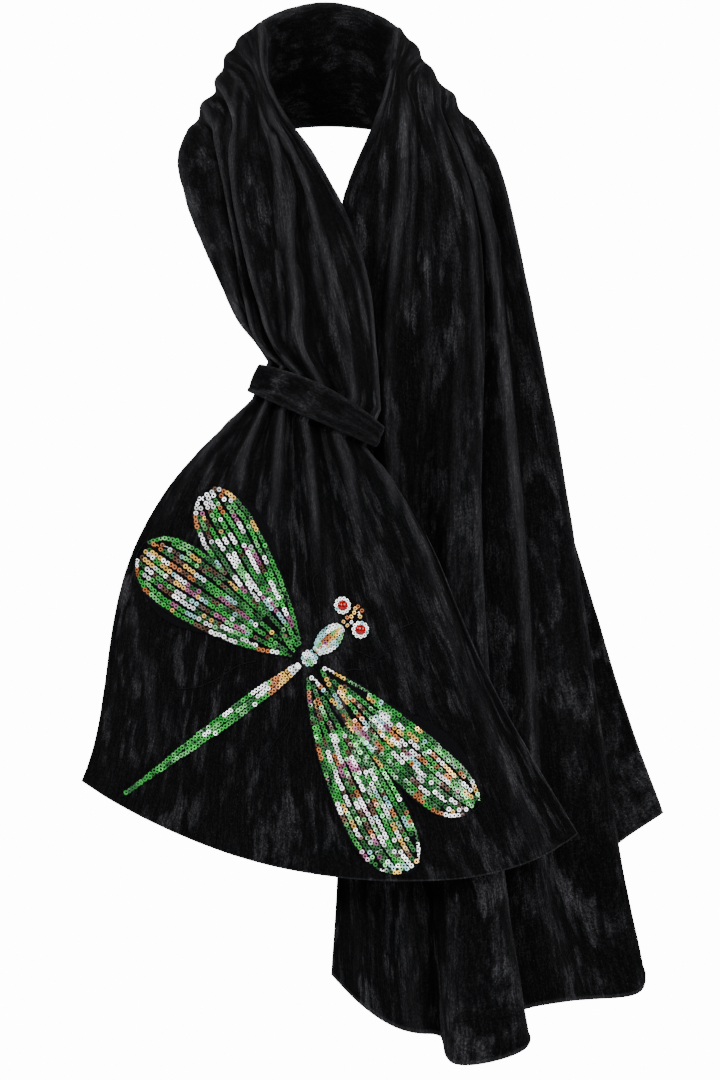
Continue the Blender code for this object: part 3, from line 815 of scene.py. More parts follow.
@dataclass
class ClothStretch:
    """One stretch of the scarf: a thin double velvet shell on the solid's own form."""

    part: Part
    rows: int
    flat: tuple[float, float]
    area: float
    held: Held
    cloth_way: float = 1.0
    outward: tuple[float, float] = (0.0, -1.0)
    hem: bool = False
    creases: tuple[Crease, ...] = ()
    dent: float = 0.9

    def fold_lines(self, shares: np.ndarray) -> np.ndarray:
        """The points of every fold line, as rows (x, y, z)."""
        raise NotImplementedError

    def shares(self) -> np.ndarray:
        """How far down the stretch each row lies, closer together at a hem."""
        even = np.linspace(0, 1, self.rows + 1)
        if not self.hem:
            return even
        near = 1 - np.array(HEM_ROWS)
        return np.unique(np.concatenate([even[even < HEM_ROWS_START], near, [1.0]]))

    def across_folds(self, rows: np.ndarray) -> tuple[np.ndarray, np.ndarray]:
        """Joins each row of fold points into one soft curve.

        Args:
            rows: The fold points of each row.

        Returns:
            The rows with PER_SPAN steps from fold to fold and a few more at both edges, and each
            column's share of the way across the cloth.
        """
        curves = []
        for points in rows:
            chord = np.sqrt(np.linalg.norm(np.diff(points, axis=0), axis=1))
            knots = np.concatenate([[0], np.cumsum(chord)])
            steps = np.arange(len(knots) * PER_SPAN - PER_SPAN + 1) / PER_SPAN
            curves.append(smooth_curve(knots, points, np.interp(steps, np.arange(len(knots)), knots)))
        curves = np.array(curves)
        for _ in range(ROUNDING_PASSES):
            beside = (curves[:, :-2] + curves[:, 2:]) / 2
            curves[:, 1:-1] = (curves[:, 1:-1] + beside) / 2
        last = curves.shape[1] - 1
        extra = np.array(EDGE_STEPS) * PER_SPAN
        wanted = np.unique(np.concatenate([np.arange(last + 1), extra, last - extra]))
        below = np.minimum(wanted.astype(int), last - 1)
        part_way = (wanted - below)[None, :, None]
        finer = curves[:, below] * (1 - part_way) + curves[:, below + 1] * part_way
        return finer, wanted / last

    def outward_normals(self, points: np.ndarray) -> np.ndarray:
        """The normals on the side of the cloth that shows."""
        normals = surface_normals(points)
        facing = normals[..., 0] * self.outward[0] + normals[..., 1] * self.outward[1]
        return normals if facing.mean() > 0 else -normals

    def undulate(self, points: np.ndarray) -> np.ndarray:
        """Presses the creases and small dents into the cloth."""
        rise = np.zeros(points.shape[:-1])
        for crease in self.creases:
            rise += crease.press(points)
        flat = points.reshape(-1, 3)
        dents = np.empty(len(flat))
        for i, (x, y, z) in enumerate(flat):
            dents[i] = sum(d * noise.noise((x / wide, y / wide, z / tall)) for d, wide, tall in DENTS)
        rise += self.dent * dents.reshape(rise.shape)
        return points + self.outward_normals(points) * rise[..., None]

    def wall_shares(self, points: np.ndarray) -> np.ndarray:
        """How thick the wall is at each point, as a share of the rolled edge's thickness."""
        across = lengths_along(points, 1)
        apart = np.minimum(across, across[:, -1:] - across)
        if self.hem:
            along = lengths_along(points, 0)
            apart = np.minimum(apart, along[-1:] - along)
        rounding = 0.3 + 0.7 * np.sqrt(np.clip(apart / EDGE_ROUNDING, 0, 1))
        roll = 1 - smooth_step((apart - ROLL_WIDTH) / ROLL_FADE)
        groove = SEAM_GROOVE * np.exp(-(((apart - SEAM_PLACE) / SEAM_HALF_WIDTH) ** 2))
        return rounding * (FIELD_SHARE + (1 - FIELD_SHARE) * roll) - groove

    def build(self, finish: bpy.types.Material, cloth_start: float) -> tuple[bpy.types.Object, float]:
        """Args:
            finish: The velvet.
            cloth_start: How far along the flat scarf the stretch starts, in metres.

        Returns:
            The finished piece, and how far along the flat scarf it ends.
        """
        points, across = self.across_folds(self.fold_lines(self.shares()))
        cloth = np.empty(points.shape[:-1] + (2,))
        cloth[..., 0] = across * CLOTH_WIDTH
        lengths = lengths_along(points, 0).mean(axis=1, keepdims=True) * MM
        cloth[..., 1] = cloth_start + self.cloth_way * lengths
        thick = self.wall_shares(points)
        points = self.undulate(points)
        mesh = grid_mesh(self.part.value + "_velvet", points, cloth)
        # Painted highlight: the velvet is lightened on sharply bent fold ridges and along the free edges and
        # the hem.
        shine = sharp_ridges(points, self.outward_normals(points))
        edges = [0, 1, -2, -1]
        shine[:, edges] = np.maximum(shine[:, edges], HEM_SHINE)
        if self.hem:
            shine[-3:] = np.maximum(shine[-3:], HEM_SHINE)
        write_ridge_highlight(mesh, shine)
        piece = add_piece(self.part.value + "_velvet", mesh, finish)
        self.thicken(piece, thick)
        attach(piece, "root")
        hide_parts(self.part.value)
        LOG.info("%s: %d faces", piece.name, len(piece.data.polygons))
        return piece, cloth_start + float(lengths[-1, 0])

    def thicken(self, piece: bpy.types.Object, thick: np.ndarray) -> None:
        """Gives the sheet its wall, thicker in its rolled edges.

        Args:
            piece: The open sheet.
            thick: The wall's share of its full thickness at each point of the grid.
        """
        weights = thick.ravel()
        group = piece.vertex_groups.new(name="wall")
        for level in range(1, 101):
            chosen = np.nonzero(np.rint(weights * 100).astype(int) == level)[0]
            group.add(chosen.tolist(), level / 100, "REPLACE")
        wall = piece.modifiers.new("wall", "SOLIDIFY")
        wall.thickness = EDGE_WALL * MM
        wall.offset = 0.0
        wall.vertex_group = "wall"
        wall.thickness_vertex_group = 0.0
        settle(piece)


@dataclass
class RightFall(ClothStretch):
    """The stretch from the right shoulder down to the stepped hem."""

    def fold_lines(self, shares: np.ndarray) -> np.ndarray:
        """The points of every fold line, as rows (x, y, z)."""
        lines = []
        for (_, side, _, _), (_, chest, hem, end, across) in zip(NECK, RIGHT):
            x, z = fall_line(side, RIGHT_LEVELS, across, end, shares)
            share = smooth_step((CHEST_LEVEL - z) / (CHEST_LEVEL - end[1]))
            stand = (chest + (hem - chest) * share) * opening_out(z)
            depth = shoulder_arc(side[1], z) * (chest_depth(x) + stand)
            lines.append(np.stack([x, -depth, z], axis=-1))
        return np.stack(lines, axis=1)


@dataclass
class LeftFall(ClothStretch):
    """The stretch from the left shoulder down to the middle of the keeper band."""

    def fold_lines(self, shares: np.ndarray) -> np.ndarray:
        """The points of every fold line, as rows (x, y, z)."""
        lines = []
        for fold, ((_, _, _, side), (_, chest, across)) in enumerate(zip(NECK, LEFT)):
            end_x, end_z, out = gather_point(fold, -BAND_REACH)
            x, z = fall_line((-side[0], side[1]), LEFT_LEVELS, across, (end_x, end_z), shares)
            top = min(side[1], 0)
            share = smooth_step((top - z) / (top - end_z))
            plain = shoulder_arc(side[1], z) * (chest_depth(x) + chest * opening_out(z))
            depth = plain * (1 - share) + (BAND_DEPTH + out) * share
            lines.append(np.stack([x, -depth, z], axis=-1))
        return np.concatenate([np.stack(lines, axis=1), gather_row()])


@dataclass
class NeckWrap(ClothStretch):
    """The stretch round the back of the neck, from the right side to the left side."""

    def fold_lines(self, shares: np.ndarray) -> np.ndarray:
        """The points of every fold line, as rows (x, y, z)."""
        turn = shares * math.pi
        to_back = smooth_step(turn / (math.pi / 2))
        to_left = smooth_step((turn - math.pi / 2) / (math.pi / 2))
        lines = []
        for _, right, back, left in NECK:
            radius = right[0] + (back[0] - right[0]) * to_back + (left[0] - back[0]) * to_left
            height = right[1] + (back[1] - right[1]) * to_back + (left[1] - back[1]) * to_left
            lines.append(np.stack([radius * np.cos(turn), radius * np.sin(turn), height], axis=-1))
        return np.stack(lines, axis=1)


@dataclass
class FanEnd(ClothStretch):
    """The fanned end, from the middle of the keeper band to the arched hem."""

    def fold_lines(self, shares: np.ndarray) -> np.ndarray:
        """The points of every fold line, as rows (x, y, z)."""
        share = shares**1.25
        lines = []
        for fold, (_, degrees, radius, hem_out, bulge, haste) in enumerate(FAN):
            start_x, start_z, band_out = gather_point(fold, BAND_REACH)
            turn = math.radians(degrees)
            end_x = BAND_CENTRE[0] + radius * math.sin(turn)
            end_z = BAND_CENTRE[1] - radius * math.cos(turn)
            most = haste**haste / (haste + 1) ** (haste + 1)
            sideways = share * (1 - share) ** haste / most
            x = start_x + (end_x - start_x) * share + bulge * sideways
            z = start_z + (end_z - start_z) * share
            stand = band_out * (1 - share) ** 2 + hem_out * smooth_step(share)
            settled = smooth_step(share / 0.5)
            plain = BAND_DEPTH + (FAN_DEPTH - FAN_ROUNDING * x**2 - BAND_DEPTH) * settled
            lines.append(np.stack([x, -(plain + stand), z], axis=-1))
        return np.concatenate([gather_row(), np.stack(lines, axis=1)])


@dataclass
class KeeperBand:
    """The sewn loop: a puffed strip of velvet with a lengthwise crease and one short seam."""

    half_length: float = 71.0
    half_depth: float = 21.9
    wall: float = 5.0
    puff: float = 2.5
    around: int = 220
    section: int = 44
    crease: tuple[tuple[float, float], ...] = (
        # along the band, below its middle line
        ((-80, 12), (-63, 9), (-40, 1), (4, 2.7), (40, -1), (72, 4.7), (80, 6))
    )
    crease_depth: float = 2.4
    crease_width: float = 2.7
    roll: float = 1.3
    seam_along: float = 37.5
    seam_depth: float = 1.0
    seam_width: float = 1.2
    seam_span: tuple[float, float] = (-14.5, -2.5)
    stitches: int = 6
    stitch_reach: float = 1.2
    stitch_lift: float = 0.15
    stitch_radius: float = 0.28

    def point(self, turn: float, section_turn: float) -> Vector:
        """One point of the band's surface.

        Args:
            turn: The angle round the loop, a quarter turn at the middle of its front.
            section_turn: The angle round the strip's own section.

        Returns:
            The point, in millimetres.
        """
        side, front = math.cos(turn), math.sin(turn)
        across, out = math.cos(section_turn), math.sin(section_turn)
        step = 0.5 * signed_power(across, 0.75)
        reach = self.half_length * signed_power(side, 0.75)
        top = BAND_TOP + BAND_ARCH * (reach - BAND_CROWN_ALONG) ** 2
        down = top + (BAND_BOTTOM - top) * (step + 0.5)
        shown = max(front, 0.0)
        if out > 0:
            middle = float(np.interp(reach, *zip(*self.crease)))
            groove = math.exp(-(((down - middle) / self.crease_width) ** 2))
            rolled = float(smooth_step((down - middle) / 4.0)) - 0.5
            outward = 0.5 * self.wall + (0.5 * self.wall + self.puff * shown) * out**0.7
            outward += (self.roll * rolled - self.crease_depth * groove) * out * (0.3 + 0.7 * shown)
            outward += 0.6 * noise.noise((reach / 15, down / 9, 3.0)) * out
            if front > 0 and down < middle:
                seam = math.exp(-(((reach - self.seam_along) / self.seam_width) ** 2))
                outward -= self.seam_depth * seam * out
        else:
            outward = 0.5 * self.wall * (1 + signed_power(out, 0.4))
        along = (self.half_length - self.wall + outward) * signed_power(side, 0.75)
        ahead = (self.half_depth - self.wall + outward) * signed_power(front, 0.6)
        down += 0.5 * noise.noise((reach / 24, step, 7.0))
        x, z = band_place(along, down)
        return Vector((x, -BAND_DEPTH - ahead, z))

    def build(self, finish: bpy.types.Material, thread: bpy.types.Material) -> None:
        """Builds the band and its seam's stitches.

        Args:
            finish: The band's velvet.
            thread: The stitches' thread.
        """
        turns = np.linspace(0, 2 * math.pi, self.around + 1)
        sections = np.linspace(0, 2 * math.pi, self.section + 1)
        points = np.array([[self.point(turn, part) for part in sections] for turn in turns])
        cloth = np.empty(points.shape[:-1] + (2,))
        cloth[..., 0] = lengths_along(points, 1).mean(axis=0)[None, :] * MM
        cloth[..., 1] = lengths_along(points, 0).mean(axis=1)[:, None] * MM
        mesh = grid_mesh("keeper_band_velvet", points, cloth)
        # Painted highlight: the velvet is lightened where the band bends sharply outward, along its edges
        # and the roll of its crease.
        normals = surface_normals(points)
        away = ((points - points.mean(axis=1, keepdims=True)) * normals).sum()
        write_ridge_highlight(mesh, sharp_ridges(points, normals * np.sign(away)))
        weld(mesh, True)
        band = add_piece("keeper_band_velvet", mesh, finish)
        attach(band, "root")
        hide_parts("keeper_band")
        LOG.info("%s: %d faces", band.name, len(mesh.polygons))
        self.stitch(band, thread)

    def stitch(self, band: bpy.types.Object, thread: bpy.types.Material) -> None:
        """Sews the short seam near the band's right end."""
        surface = Surface(band)
        lines = []
        for step in np.linspace(*self.seam_span, self.stitches):
            ends = []
            for aside in (-self.stitch_reach, self.stitch_reach):
                x, z = band_place(self.seam_along + aside, step + aside * 0.5)
                ends.append(surface.above(x, z, self.stitch_lift))
            lines.append(ends)
        seam = thread_piece("band_stitches", lines, self.stitch_radius, False, thread)


class Surface:
    """The outer surface of one or more pieces, to lay other pieces on from the front."""

    def __init__(self, *pieces: bpy.types.Object) -> None:
        """Reads the pieces as they stand."""
        bpy.context.view_layer.update()
        graph = bpy.context.evaluated_depsgraph_get()
        self.trees = [BVHTree.FromObject(piece, graph) for piece in pieces]

    def hit(self, x: float, z: float) -> tuple[Vector, Vector]:
        """The nearest point of the surface behind x and z, in millimetres, and its normal."""
        start, direction = Vector((x * MM, -1.0, z * MM)), Vector((0, 1, 0))
        found = [tree.ray_cast(start, direction)[:2] for tree in self.trees]
        found = [(place, normal) for place, normal in found if place is not None]
        if not found:
            return Vector((x, -FAN_DEPTH, z)), Vector((0, -1, 0))
        place, normal = min(found, key=lambda one: one[0].y)
        if normal.y > 0:
            normal = -normal
        return place / MM, normal

    def above(self, x: float, z: float, lift: float) -> Vector:
        """The point at x and z, moved out along the surface's normal by the lift."""
        place, normal = self.hit(x, z)
        return place + normal * lift


def thread_piece(
    name: str,
    lines: list[list[Vector]],
    radius: float,
    closed: bool,
    finish: bpy.types.Material,
) -> bpy.types.Object:
    """Lays sewn threads along lines of points, as one piece.

    Args:
        name: The piece's name.
        lines: The points of each thread, in millimetres.
        radius: The thread's radius, in millimetres.
        closed: Whether each thread comes back to its start.
        finish: The thread's material.

    Returns:
        The finished piece, riding on the root body.
    """
    curve = bpy.data.curves.new(name, "CURVE")
    curve.dimensions = "3D"
    curve.bevel_depth = radius * MM
    curve.bevel_resolution = 1
    curve.use_fill_caps = not closed
    for line in lines:
        spline = curve.splines.new("POLY")
        spline.points.add(len(line) - 1)
        for point, place in zip(spline.points, line):
            point.co = (*(place * MM), 1.0)
        spline.use_cyclic_u = closed
    guide = add_object(name + "_guide", curve)
    bpy.context.view_layer.update()
    graph = bpy.context.evaluated_depsgraph_get()
    mesh = bpy.data.meshes.new_from_object(guide.evaluated_get(graph))
    bpy.data.objects.remove(guide)
    weld(mesh, False)
    piece = add_piece(name, mesh, finish)
    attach(piece, "root")
    LOG.info("%s: %d faces", name, len(mesh.polygons))
    return piece


class Tint(Enum):
    """The colours of the sequins."""

    GREEN = (0.006, 0.22, 0.018)
    DEEP_GREEN = (0.001, 0.07, 0.008)
    PALE_GREEN = (0.1, 0.4, 0.11)
    SILVER = (0.88, 0.9, 0.89)
    GOLD = (0.66, 0.38, 0.06)
    COPPER = (0.34, 0.1, 0.02)
    MAUVE = (0.24, 0.06, 0.14)
    AQUA = (0.24, 0.52, 0.52)
    BROWN = (0.06, 0.025, 0.01)


@dataclass
class RingSequins:
    """Many small ring sequins, gathered up and made as one joined mesh."""

    radius: float = 2.35
    hole: float = 1.12
    thick: float = 0.3
    segments: int = 11
    places: list[tuple[Vector, Vector, Vector, float]] = field(default_factory=list)
    tints: list[tuple[float, float, float]] = field(default_factory=list)

    def add(self, place: Vector, normal: Vector, along: Vector, size: float, tint: tuple) -> None:
        """Puts down one ring.

        Args:
            place: Its centre, in millimetres.
            normal: The direction it faces.
            along: The direction of the row it is sewn in.
            size: Its size, as a share of the full one.
            tint: Its colour.
        """
        self.places.append((place, normal, along, size))
        self.tints.append(tint)

    def ring(self) -> tuple[np.ndarray, list[tuple[int, ...]]]:
        """One ring spun from its small section, as corner points and faces."""
        shape = bmesh.new()
        section = (
            (self.hole, 0.0),
            (self.radius, 0.08),
            (self.radius, 0.08 + self.thick * 0.6),
            (self.hole, self.thick),
        )
        corners = [shape.verts.new((r, 0.0, h)) for r, h in section]
        edges = [shape.edges.new((a, b)) for a, b in zip(corners, corners[1:] + corners[:1])]
        bmesh.ops.spin(
            shape,
            geom=corners + edges,
            cent=(0, 0, 0),
            axis=(0, 0, 1),
            angle=2 * math.pi,
            steps=self.segments,
            use_merge=True,
        )
        bmesh.ops.remove_doubles(shape, verts=shape.verts, dist=1e-4)
        bmesh.ops.recalc_face_normals(shape, faces=shape.faces)
        shape.verts.index_update()
        points = np.array([vertex.co[:] for vertex in shape.verts])
        faces = [tuple(vertex.index for vertex in face.verts) for face in shape.faces]
        shape.free()
        return points, faces

    def build(self, name: str, finish: bpy.types.Material) -> bpy.types.Object:
        """Joins all the rings into one piece.

        Args:
            name: The piece's name.
            finish: The sequins' material.

        Returns:
            The finished piece, riding on the root body.
        """
        ring, faces = self.ring()
        ring_faces = np.array(faces)
        points, corners, colours = [], [], []
        for i, ((place, normal, along, size), tint) in enumerate(zip(self.places, self.tints)):
            aside = normal.cross(along).normalized()
            ahead = aside.cross(normal).normalized()
            turned = Matrix((ahead, aside, normal)).transposed()
            points.append(ring * size @ np.array(turned).T + np.array(place))
            corners.append(ring_faces + i * len(ring))
            colours.append(np.tile((*tint, 1.0), (len(ring), 1)))
        mesh = bpy.data.meshes.new(name)
        metres = np.concatenate(points) * MM
        mesh.from_pydata(metres.tolist(), [], np.concatenate(corners).tolist())
        layer = mesh.color_attributes.new("tint", "FLOAT_COLOR", "POINT")
        layer.data.foreach_set("color", np.concatenate(colours).astype(np.float32).ravel())
        mesh.shade_smooth()
        mesh.set_sharp_from_angle(angle=math.radians(35))
        piece = add_piece(name, mesh, finish)
        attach(piece, "root")
        LOG.info("%s: %d rings", name, len(self.places))
        return piece


@dataclass
class Leaf:
    """A leaf-shaped outline on the fan: a wing, or a piece of the body."""

    node: str
    root: tuple[float, float]
    length: float
    width: float
    degrees: float
    blunt: float = 1.9
    swing: float = 0.0
    crown: float = 0.0

    def half(self, share: float) -> float:
        """Half the width at a share of the length."""
        along = 0.015 + 0.97 * share
        return self.width / 2 * (math.sin(math.pi * along**self.blunt) ** 0.8 * 0.97 + 0.03)

    def place(self, share: float, sideways: float) -> tuple[float, float]:
        """The point (x, z) at a share of the length and a distance beside the middle line."""
        turn = math.radians(self.degrees)
        sideways += self.swing * 2 * self.half(share)
        x = self.root[0] + math.sin(turn) * self.length * share + math.cos(turn) * sideways
        z = self.root[1] + math.cos(turn) * self.length * share - math.sin(turn) * sideways
        return x, z

    def felt(self, surface: Surface, finish: bpy.types.Material) -> bpy.types.Object:
        """The dark felt that the sequins are sewn on.

        Args:
            surface: The cloth that it lies on.
            finish: The felt.

        Returns:
            The finished piece, which stands for the leaf's node.
        """
        rows = max(12, round(abs(self.length) / FELT_STEP))
        columns = max(4, round(self.width / FELT_STEP))
        points = np.empty((rows + 1, columns + 1, 3))
        for row in range(rows + 1):
            share = row / rows
            half = self.half(share)
            for column in range(columns + 1):
                across = 2 * column / columns - 1
                x, z = self.place(share, half * across)
                lift = FELT_LIFT + self.crown * (1 - across**2)
                points[row, column] = surface.above(x, z, lift)
        mesh = grid_mesh(self.node + "_felt", points)
        piece = add_piece(self.node + "_felt", mesh, finish)
        wall = piece.modifiers.new("wall", "SOLIDIFY")
        wall.thickness = FELT_WALL * MM
        wall.offset = 1.0 if mesh.polygons[0].normal.y < 0 else -1.0
        settle(piece)
        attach(piece, "root")
        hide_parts(self.node)
        LOG.info("%s: %d faces", piece.name, len(piece.data.polygons))
        return piece

    def outline(self, surface: Surface) -> list[Vector]:
        """The closed line of cord round the leaf, on the cloth."""
        shares = (1 - np.cos(np.linspace(0, math.pi, 40))) / 2
        places = [self.place(share, self.half(share) + BODY_CORD_OUTSET) for share in shares]
        places += [self.place(share, -self.half(share) - BODY_CORD_OUTSET) for share in shares[::-1]]
        return [surface.above(x, z, BODY_CORD_LIFT) for x, z in places]


@dataclass
class SequinWing:
    """A wing: its leaf, and the mix of colours from its leading edge to its trailing edge.

    The sequins and the cord reach beyond the leaf's felt near the root, where two wings meet.
    """

    leaf: Leaf
    leading: int
    length: float
    width: float
    swing: float
    neighbour: "SequinWing | None" = None
    row_gap: float = 5.8
    pitch: float = 4.0
    rim: float = 2.6

    def half(self, share: float) -> float:
        """Half the width of the sequined wing at a share of its length."""
        return self.width / 2 * float(np.interp(share, WING_SHARES, WING_WIDTHS))

    def place(self, share: float, across: float) -> tuple[float, float]:
        """The point (x, z) at a share of the length and of half the width."""
        turn = math.radians(self.leaf.degrees)
        ahead, sideways = self.length * share, (across + 2 * self.swing) * self.half(share)
        x = self.leaf.root[0] + math.sin(turn) * ahead + math.cos(turn) * sideways
        z = self.leaf.root[1] + math.cos(turn) * ahead - math.sin(turn) * sideways
        return x, z

    def within(self, x: float, z: float) -> tuple[float, float]:
        """How far along and how far across the wing a point is, as shares."""
        turn = math.radians(self.leaf.degrees)
        right, up = x - self.leaf.root[0], z - self.leaf.root[1]
        share = (right * math.sin(turn) + up * math.cos(turn)) / self.length
        half = self.half(min(max(share, 0.0), 1.0))
        sideways = right * math.cos(turn) - up * math.sin(turn)
        return share, sideways / half - 2 * self.swing

    def is_its_own(self, x: float, z: float) -> bool:
        """Whether a point is nearer to this wing's middle than to its neighbour's."""
        if self.neighbour is None:
            return True
        share, across = self.neighbour.within(x, z)
        if not 0.0 < share < 1.0 or abs(across) > 1.06:
            return True
        return abs(across) > abs(self.within(x, z)[1])

    def rows(self, chance: np.random.Generator) -> list[list[tuple[float, float]]]:
        """The rows of sequins, as places (x, z), the outermost ones round the outline."""
        shares = np.linspace(0.02, 0.985, 400)
        halves = np.array([self.half(share) for share in shares])
        widest = int(halves.argmax())
        spread = halves.copy()
        spread[widest:] = halves[widest] * (1 - 0.5 * (shares[widest:] - shares[widest]))
        count = max(2, round((halves[widest] - self.rim) / self.row_gap))
        found = []
        for side in (-1, 1):
            edge = [self.place(s, side * max(1 - self.rim / h, 0.1)) for s, h in zip(shares, halves)]
            found += self.own_runs(edge)
        for step in range(1 - count, count):
            rank = 4 if step % 4 == 0 else 2 if step % 2 == 0 else 1
            sway, start = chance.uniform(0.3, 0.9), chance.uniform(0, 2 * math.pi)
            row = []
            for share, half, wide in zip(shares, halves, spread):
                sideways = step / count * (wide - self.rim) + sway * math.sin(9 * share + start)
                gap = (wide - self.rim) / count * rank
                if gap < self.row_gap * 0.66 or half - self.rim - abs(sideways) < self.row_gap * 0.6:
                    continue
                row.append(self.place(share, sideways / half))
            found += self.own_runs(row)
        return found

    def own_runs(self, row: list[tuple[float, float]]) -> list[list[tuple[float, float]]]:
        """The stretches of a row that lie on this wing's side of its neighbour."""
        runs, run = [], []
        for x, z in row:
            if self.is_its_own(x, z):
                run.append((x, z))
            elif run:
                runs.append(run)
                run = []
        runs.append(run)
        return [run for run in runs if len(run) > 3]

    def outline(self, surface: Surface) -> list[list[Vector]]:
        """The lines of cord round the wing, on the cloth, where no other wing covers them."""
        shares = (1 - np.cos(np.linspace(0, math.pi, 60))) / 2
        edge = [self.place(share, 1.0 + WING_CORD_OUTSET / self.half(share)) for share in shares]
        edge += [self.place(s, -1.0 - WING_CORD_OUTSET / self.half(s)) for s in shares[::-1]]
        runs = self.own_runs(edge)
        return [[surface.above(x, z, WING_CORD_LIFT) for x, z in run] for run in runs]

    def tint(self, x: float, z: float, chance: np.random.Generator) -> tuple[float, float, float]:
        """Draws a colour for a run of sequins by where it lies in the wing."""
        share, across = self.within(x, z)
        across *= self.leading
        tip = float(smooth_step((share - 0.6) / 0.4))
        lead = float(smooth_step((across - 0.35) / 0.5))
        near = float(smooth_step((0.4 - share) / 0.3))
        middle = math.exp(-(((share - 0.42) / 0.14) ** 2 + ((across + 0.1) / 0.4) ** 2))
        weights = {
            Tint.GREEN: 2.0 + 3.0 * lead + 1.8 * near,
            Tint.DEEP_GREEN: 2.0 + 2.0 * lead + 1.2 * near,
            Tint.PALE_GREEN: 0.5 + 0.4 * lead,
            Tint.SILVER: 2.1 + 1.9 * tip - 1.9 * lead * (1 - tip) - 1.6 * near,
            Tint.GOLD: 0.6 + 0.7 * near + 0.9 * tip,
            Tint.COPPER: 0.5 + 0.5 * near + 0.5 * tip,
            Tint.MAUVE: 0.2 + 2.6 * middle,
            Tint.AQUA: 0.3 + 0.3 * tip,
            Tint.BROWN: 0.9 * (1 - lead),
        }
        values = np.maximum(np.array(list(weights.values())), 0.05)
        chosen = list(weights)[int(chance.choice(len(values), p=values / values.sum()))]
        shade = chance.uniform(0.75, 1.15)
        return tuple(min(1.0, channel * shade) for channel in chosen.value)

    def sew(self, sequins: RingSequins, surface: Surface, chance: np.random.Generator) -> None:
        """Sews the wing's sequins, row by row, in short runs of one colour.

        Args:
            sequins: Where the rings are gathered up.
            surface: The cloth below.
            chance: The seeded source of chance.
        """
        for row in self.rows(chance):
            sew_row(row, self.pitch, sequins, surface, chance, self.tint)


def sew_row(
    row: list[tuple[float, float]],
    pitch: float,
    sequins: RingSequins,
    surface: Surface,
    chance: np.random.Generator,
    tint_of: TintChoice,
    size: float = 1.0,
) -> None:
    """Sews sequins along one line, each lapping a little over the one before.

    Args:
        row: The line's points (x, z).
        pitch: The distance from one sequin to the next.
        sequins: Where the rings are gathered up.
        surface: The cloth below.
        chance: The seeded source of chance.
        tint_of: Gives the colour of a run that starts at x and z.
        size: The rings' size, as a share of the full one.
    """
    line = np.array(row)
    steps = np.linalg.norm(np.diff(line, axis=0), axis=1)
    reach = np.concatenate([[0], np.cumsum(steps)])
    at = chance.uniform(0.2, 1.2)
    left, tint, aside = 0, (0.0, 0.0, 0.0), 0.0
    while at < reach[-1] - 0.6:
        x, z = np.interp(at, reach, line[:, 0]), np.interp(at, reach, line[:, 1])
        ahead_x = np.interp(at + 1.0, reach, line[:, 0])
        ahead_z = np.interp(at + 1.0, reach, line[:, 1])
        if left == 0:
            left, tint = int(chance.integers(1, 4)), tint_of(x, z, chance)
            aside = chance.uniform(-0.5, 0.5)
            at += chance.uniform(0.0, 1.3)
        along = Vector((ahead_x - x, 0.0, ahead_z - z))
        if along.length < 1e-6:
            along = Vector((0, 0, 1))
        along.normalize()
        place, normal = surface.hit(x + aside * along.z, z - aside * along.x)
        lean = Vector(chance.uniform(-0.13, 0.13, 3)) - along * 0.1
        facing = (normal + lean).normalized()
        lift = SEQUIN_LIFT + chance.uniform(0.0, 0.12)
        # Painted glint and shade: each ring's colour is made brighter or darker at random.
        glint = chance.uniform(0.55, 1.2)
        shown = tuple(min(1.0, channel * glint) for channel in tint)
        sequins.add(place + normal * lift, facing, along, size * chance.uniform(0.92, 1.04), shown)
        at += pitch * chance.uniform(0.93, 1.08)
        left -= 1


def run_of(*tints: Tint) -> TintChoice:
    """A chooser of colours that draws evenly from the given tints.

    Args:
        tints: The colours to draw from; one named twice comes twice as often.

    Returns:
        A function of x, z and the source of chance that gives a colour.
    """

    def choose(x: float, z: float, chance: np.random.Generator) -> tuple[float, float, float]:
        """Draws one colour."""
        shade = chance.uniform(0.8, 1.12)
        tint = tints[int(chance.integers(len(tints)))]
        return tuple(min(1.0, channel * shade) for channel in tint.value)

    return choose


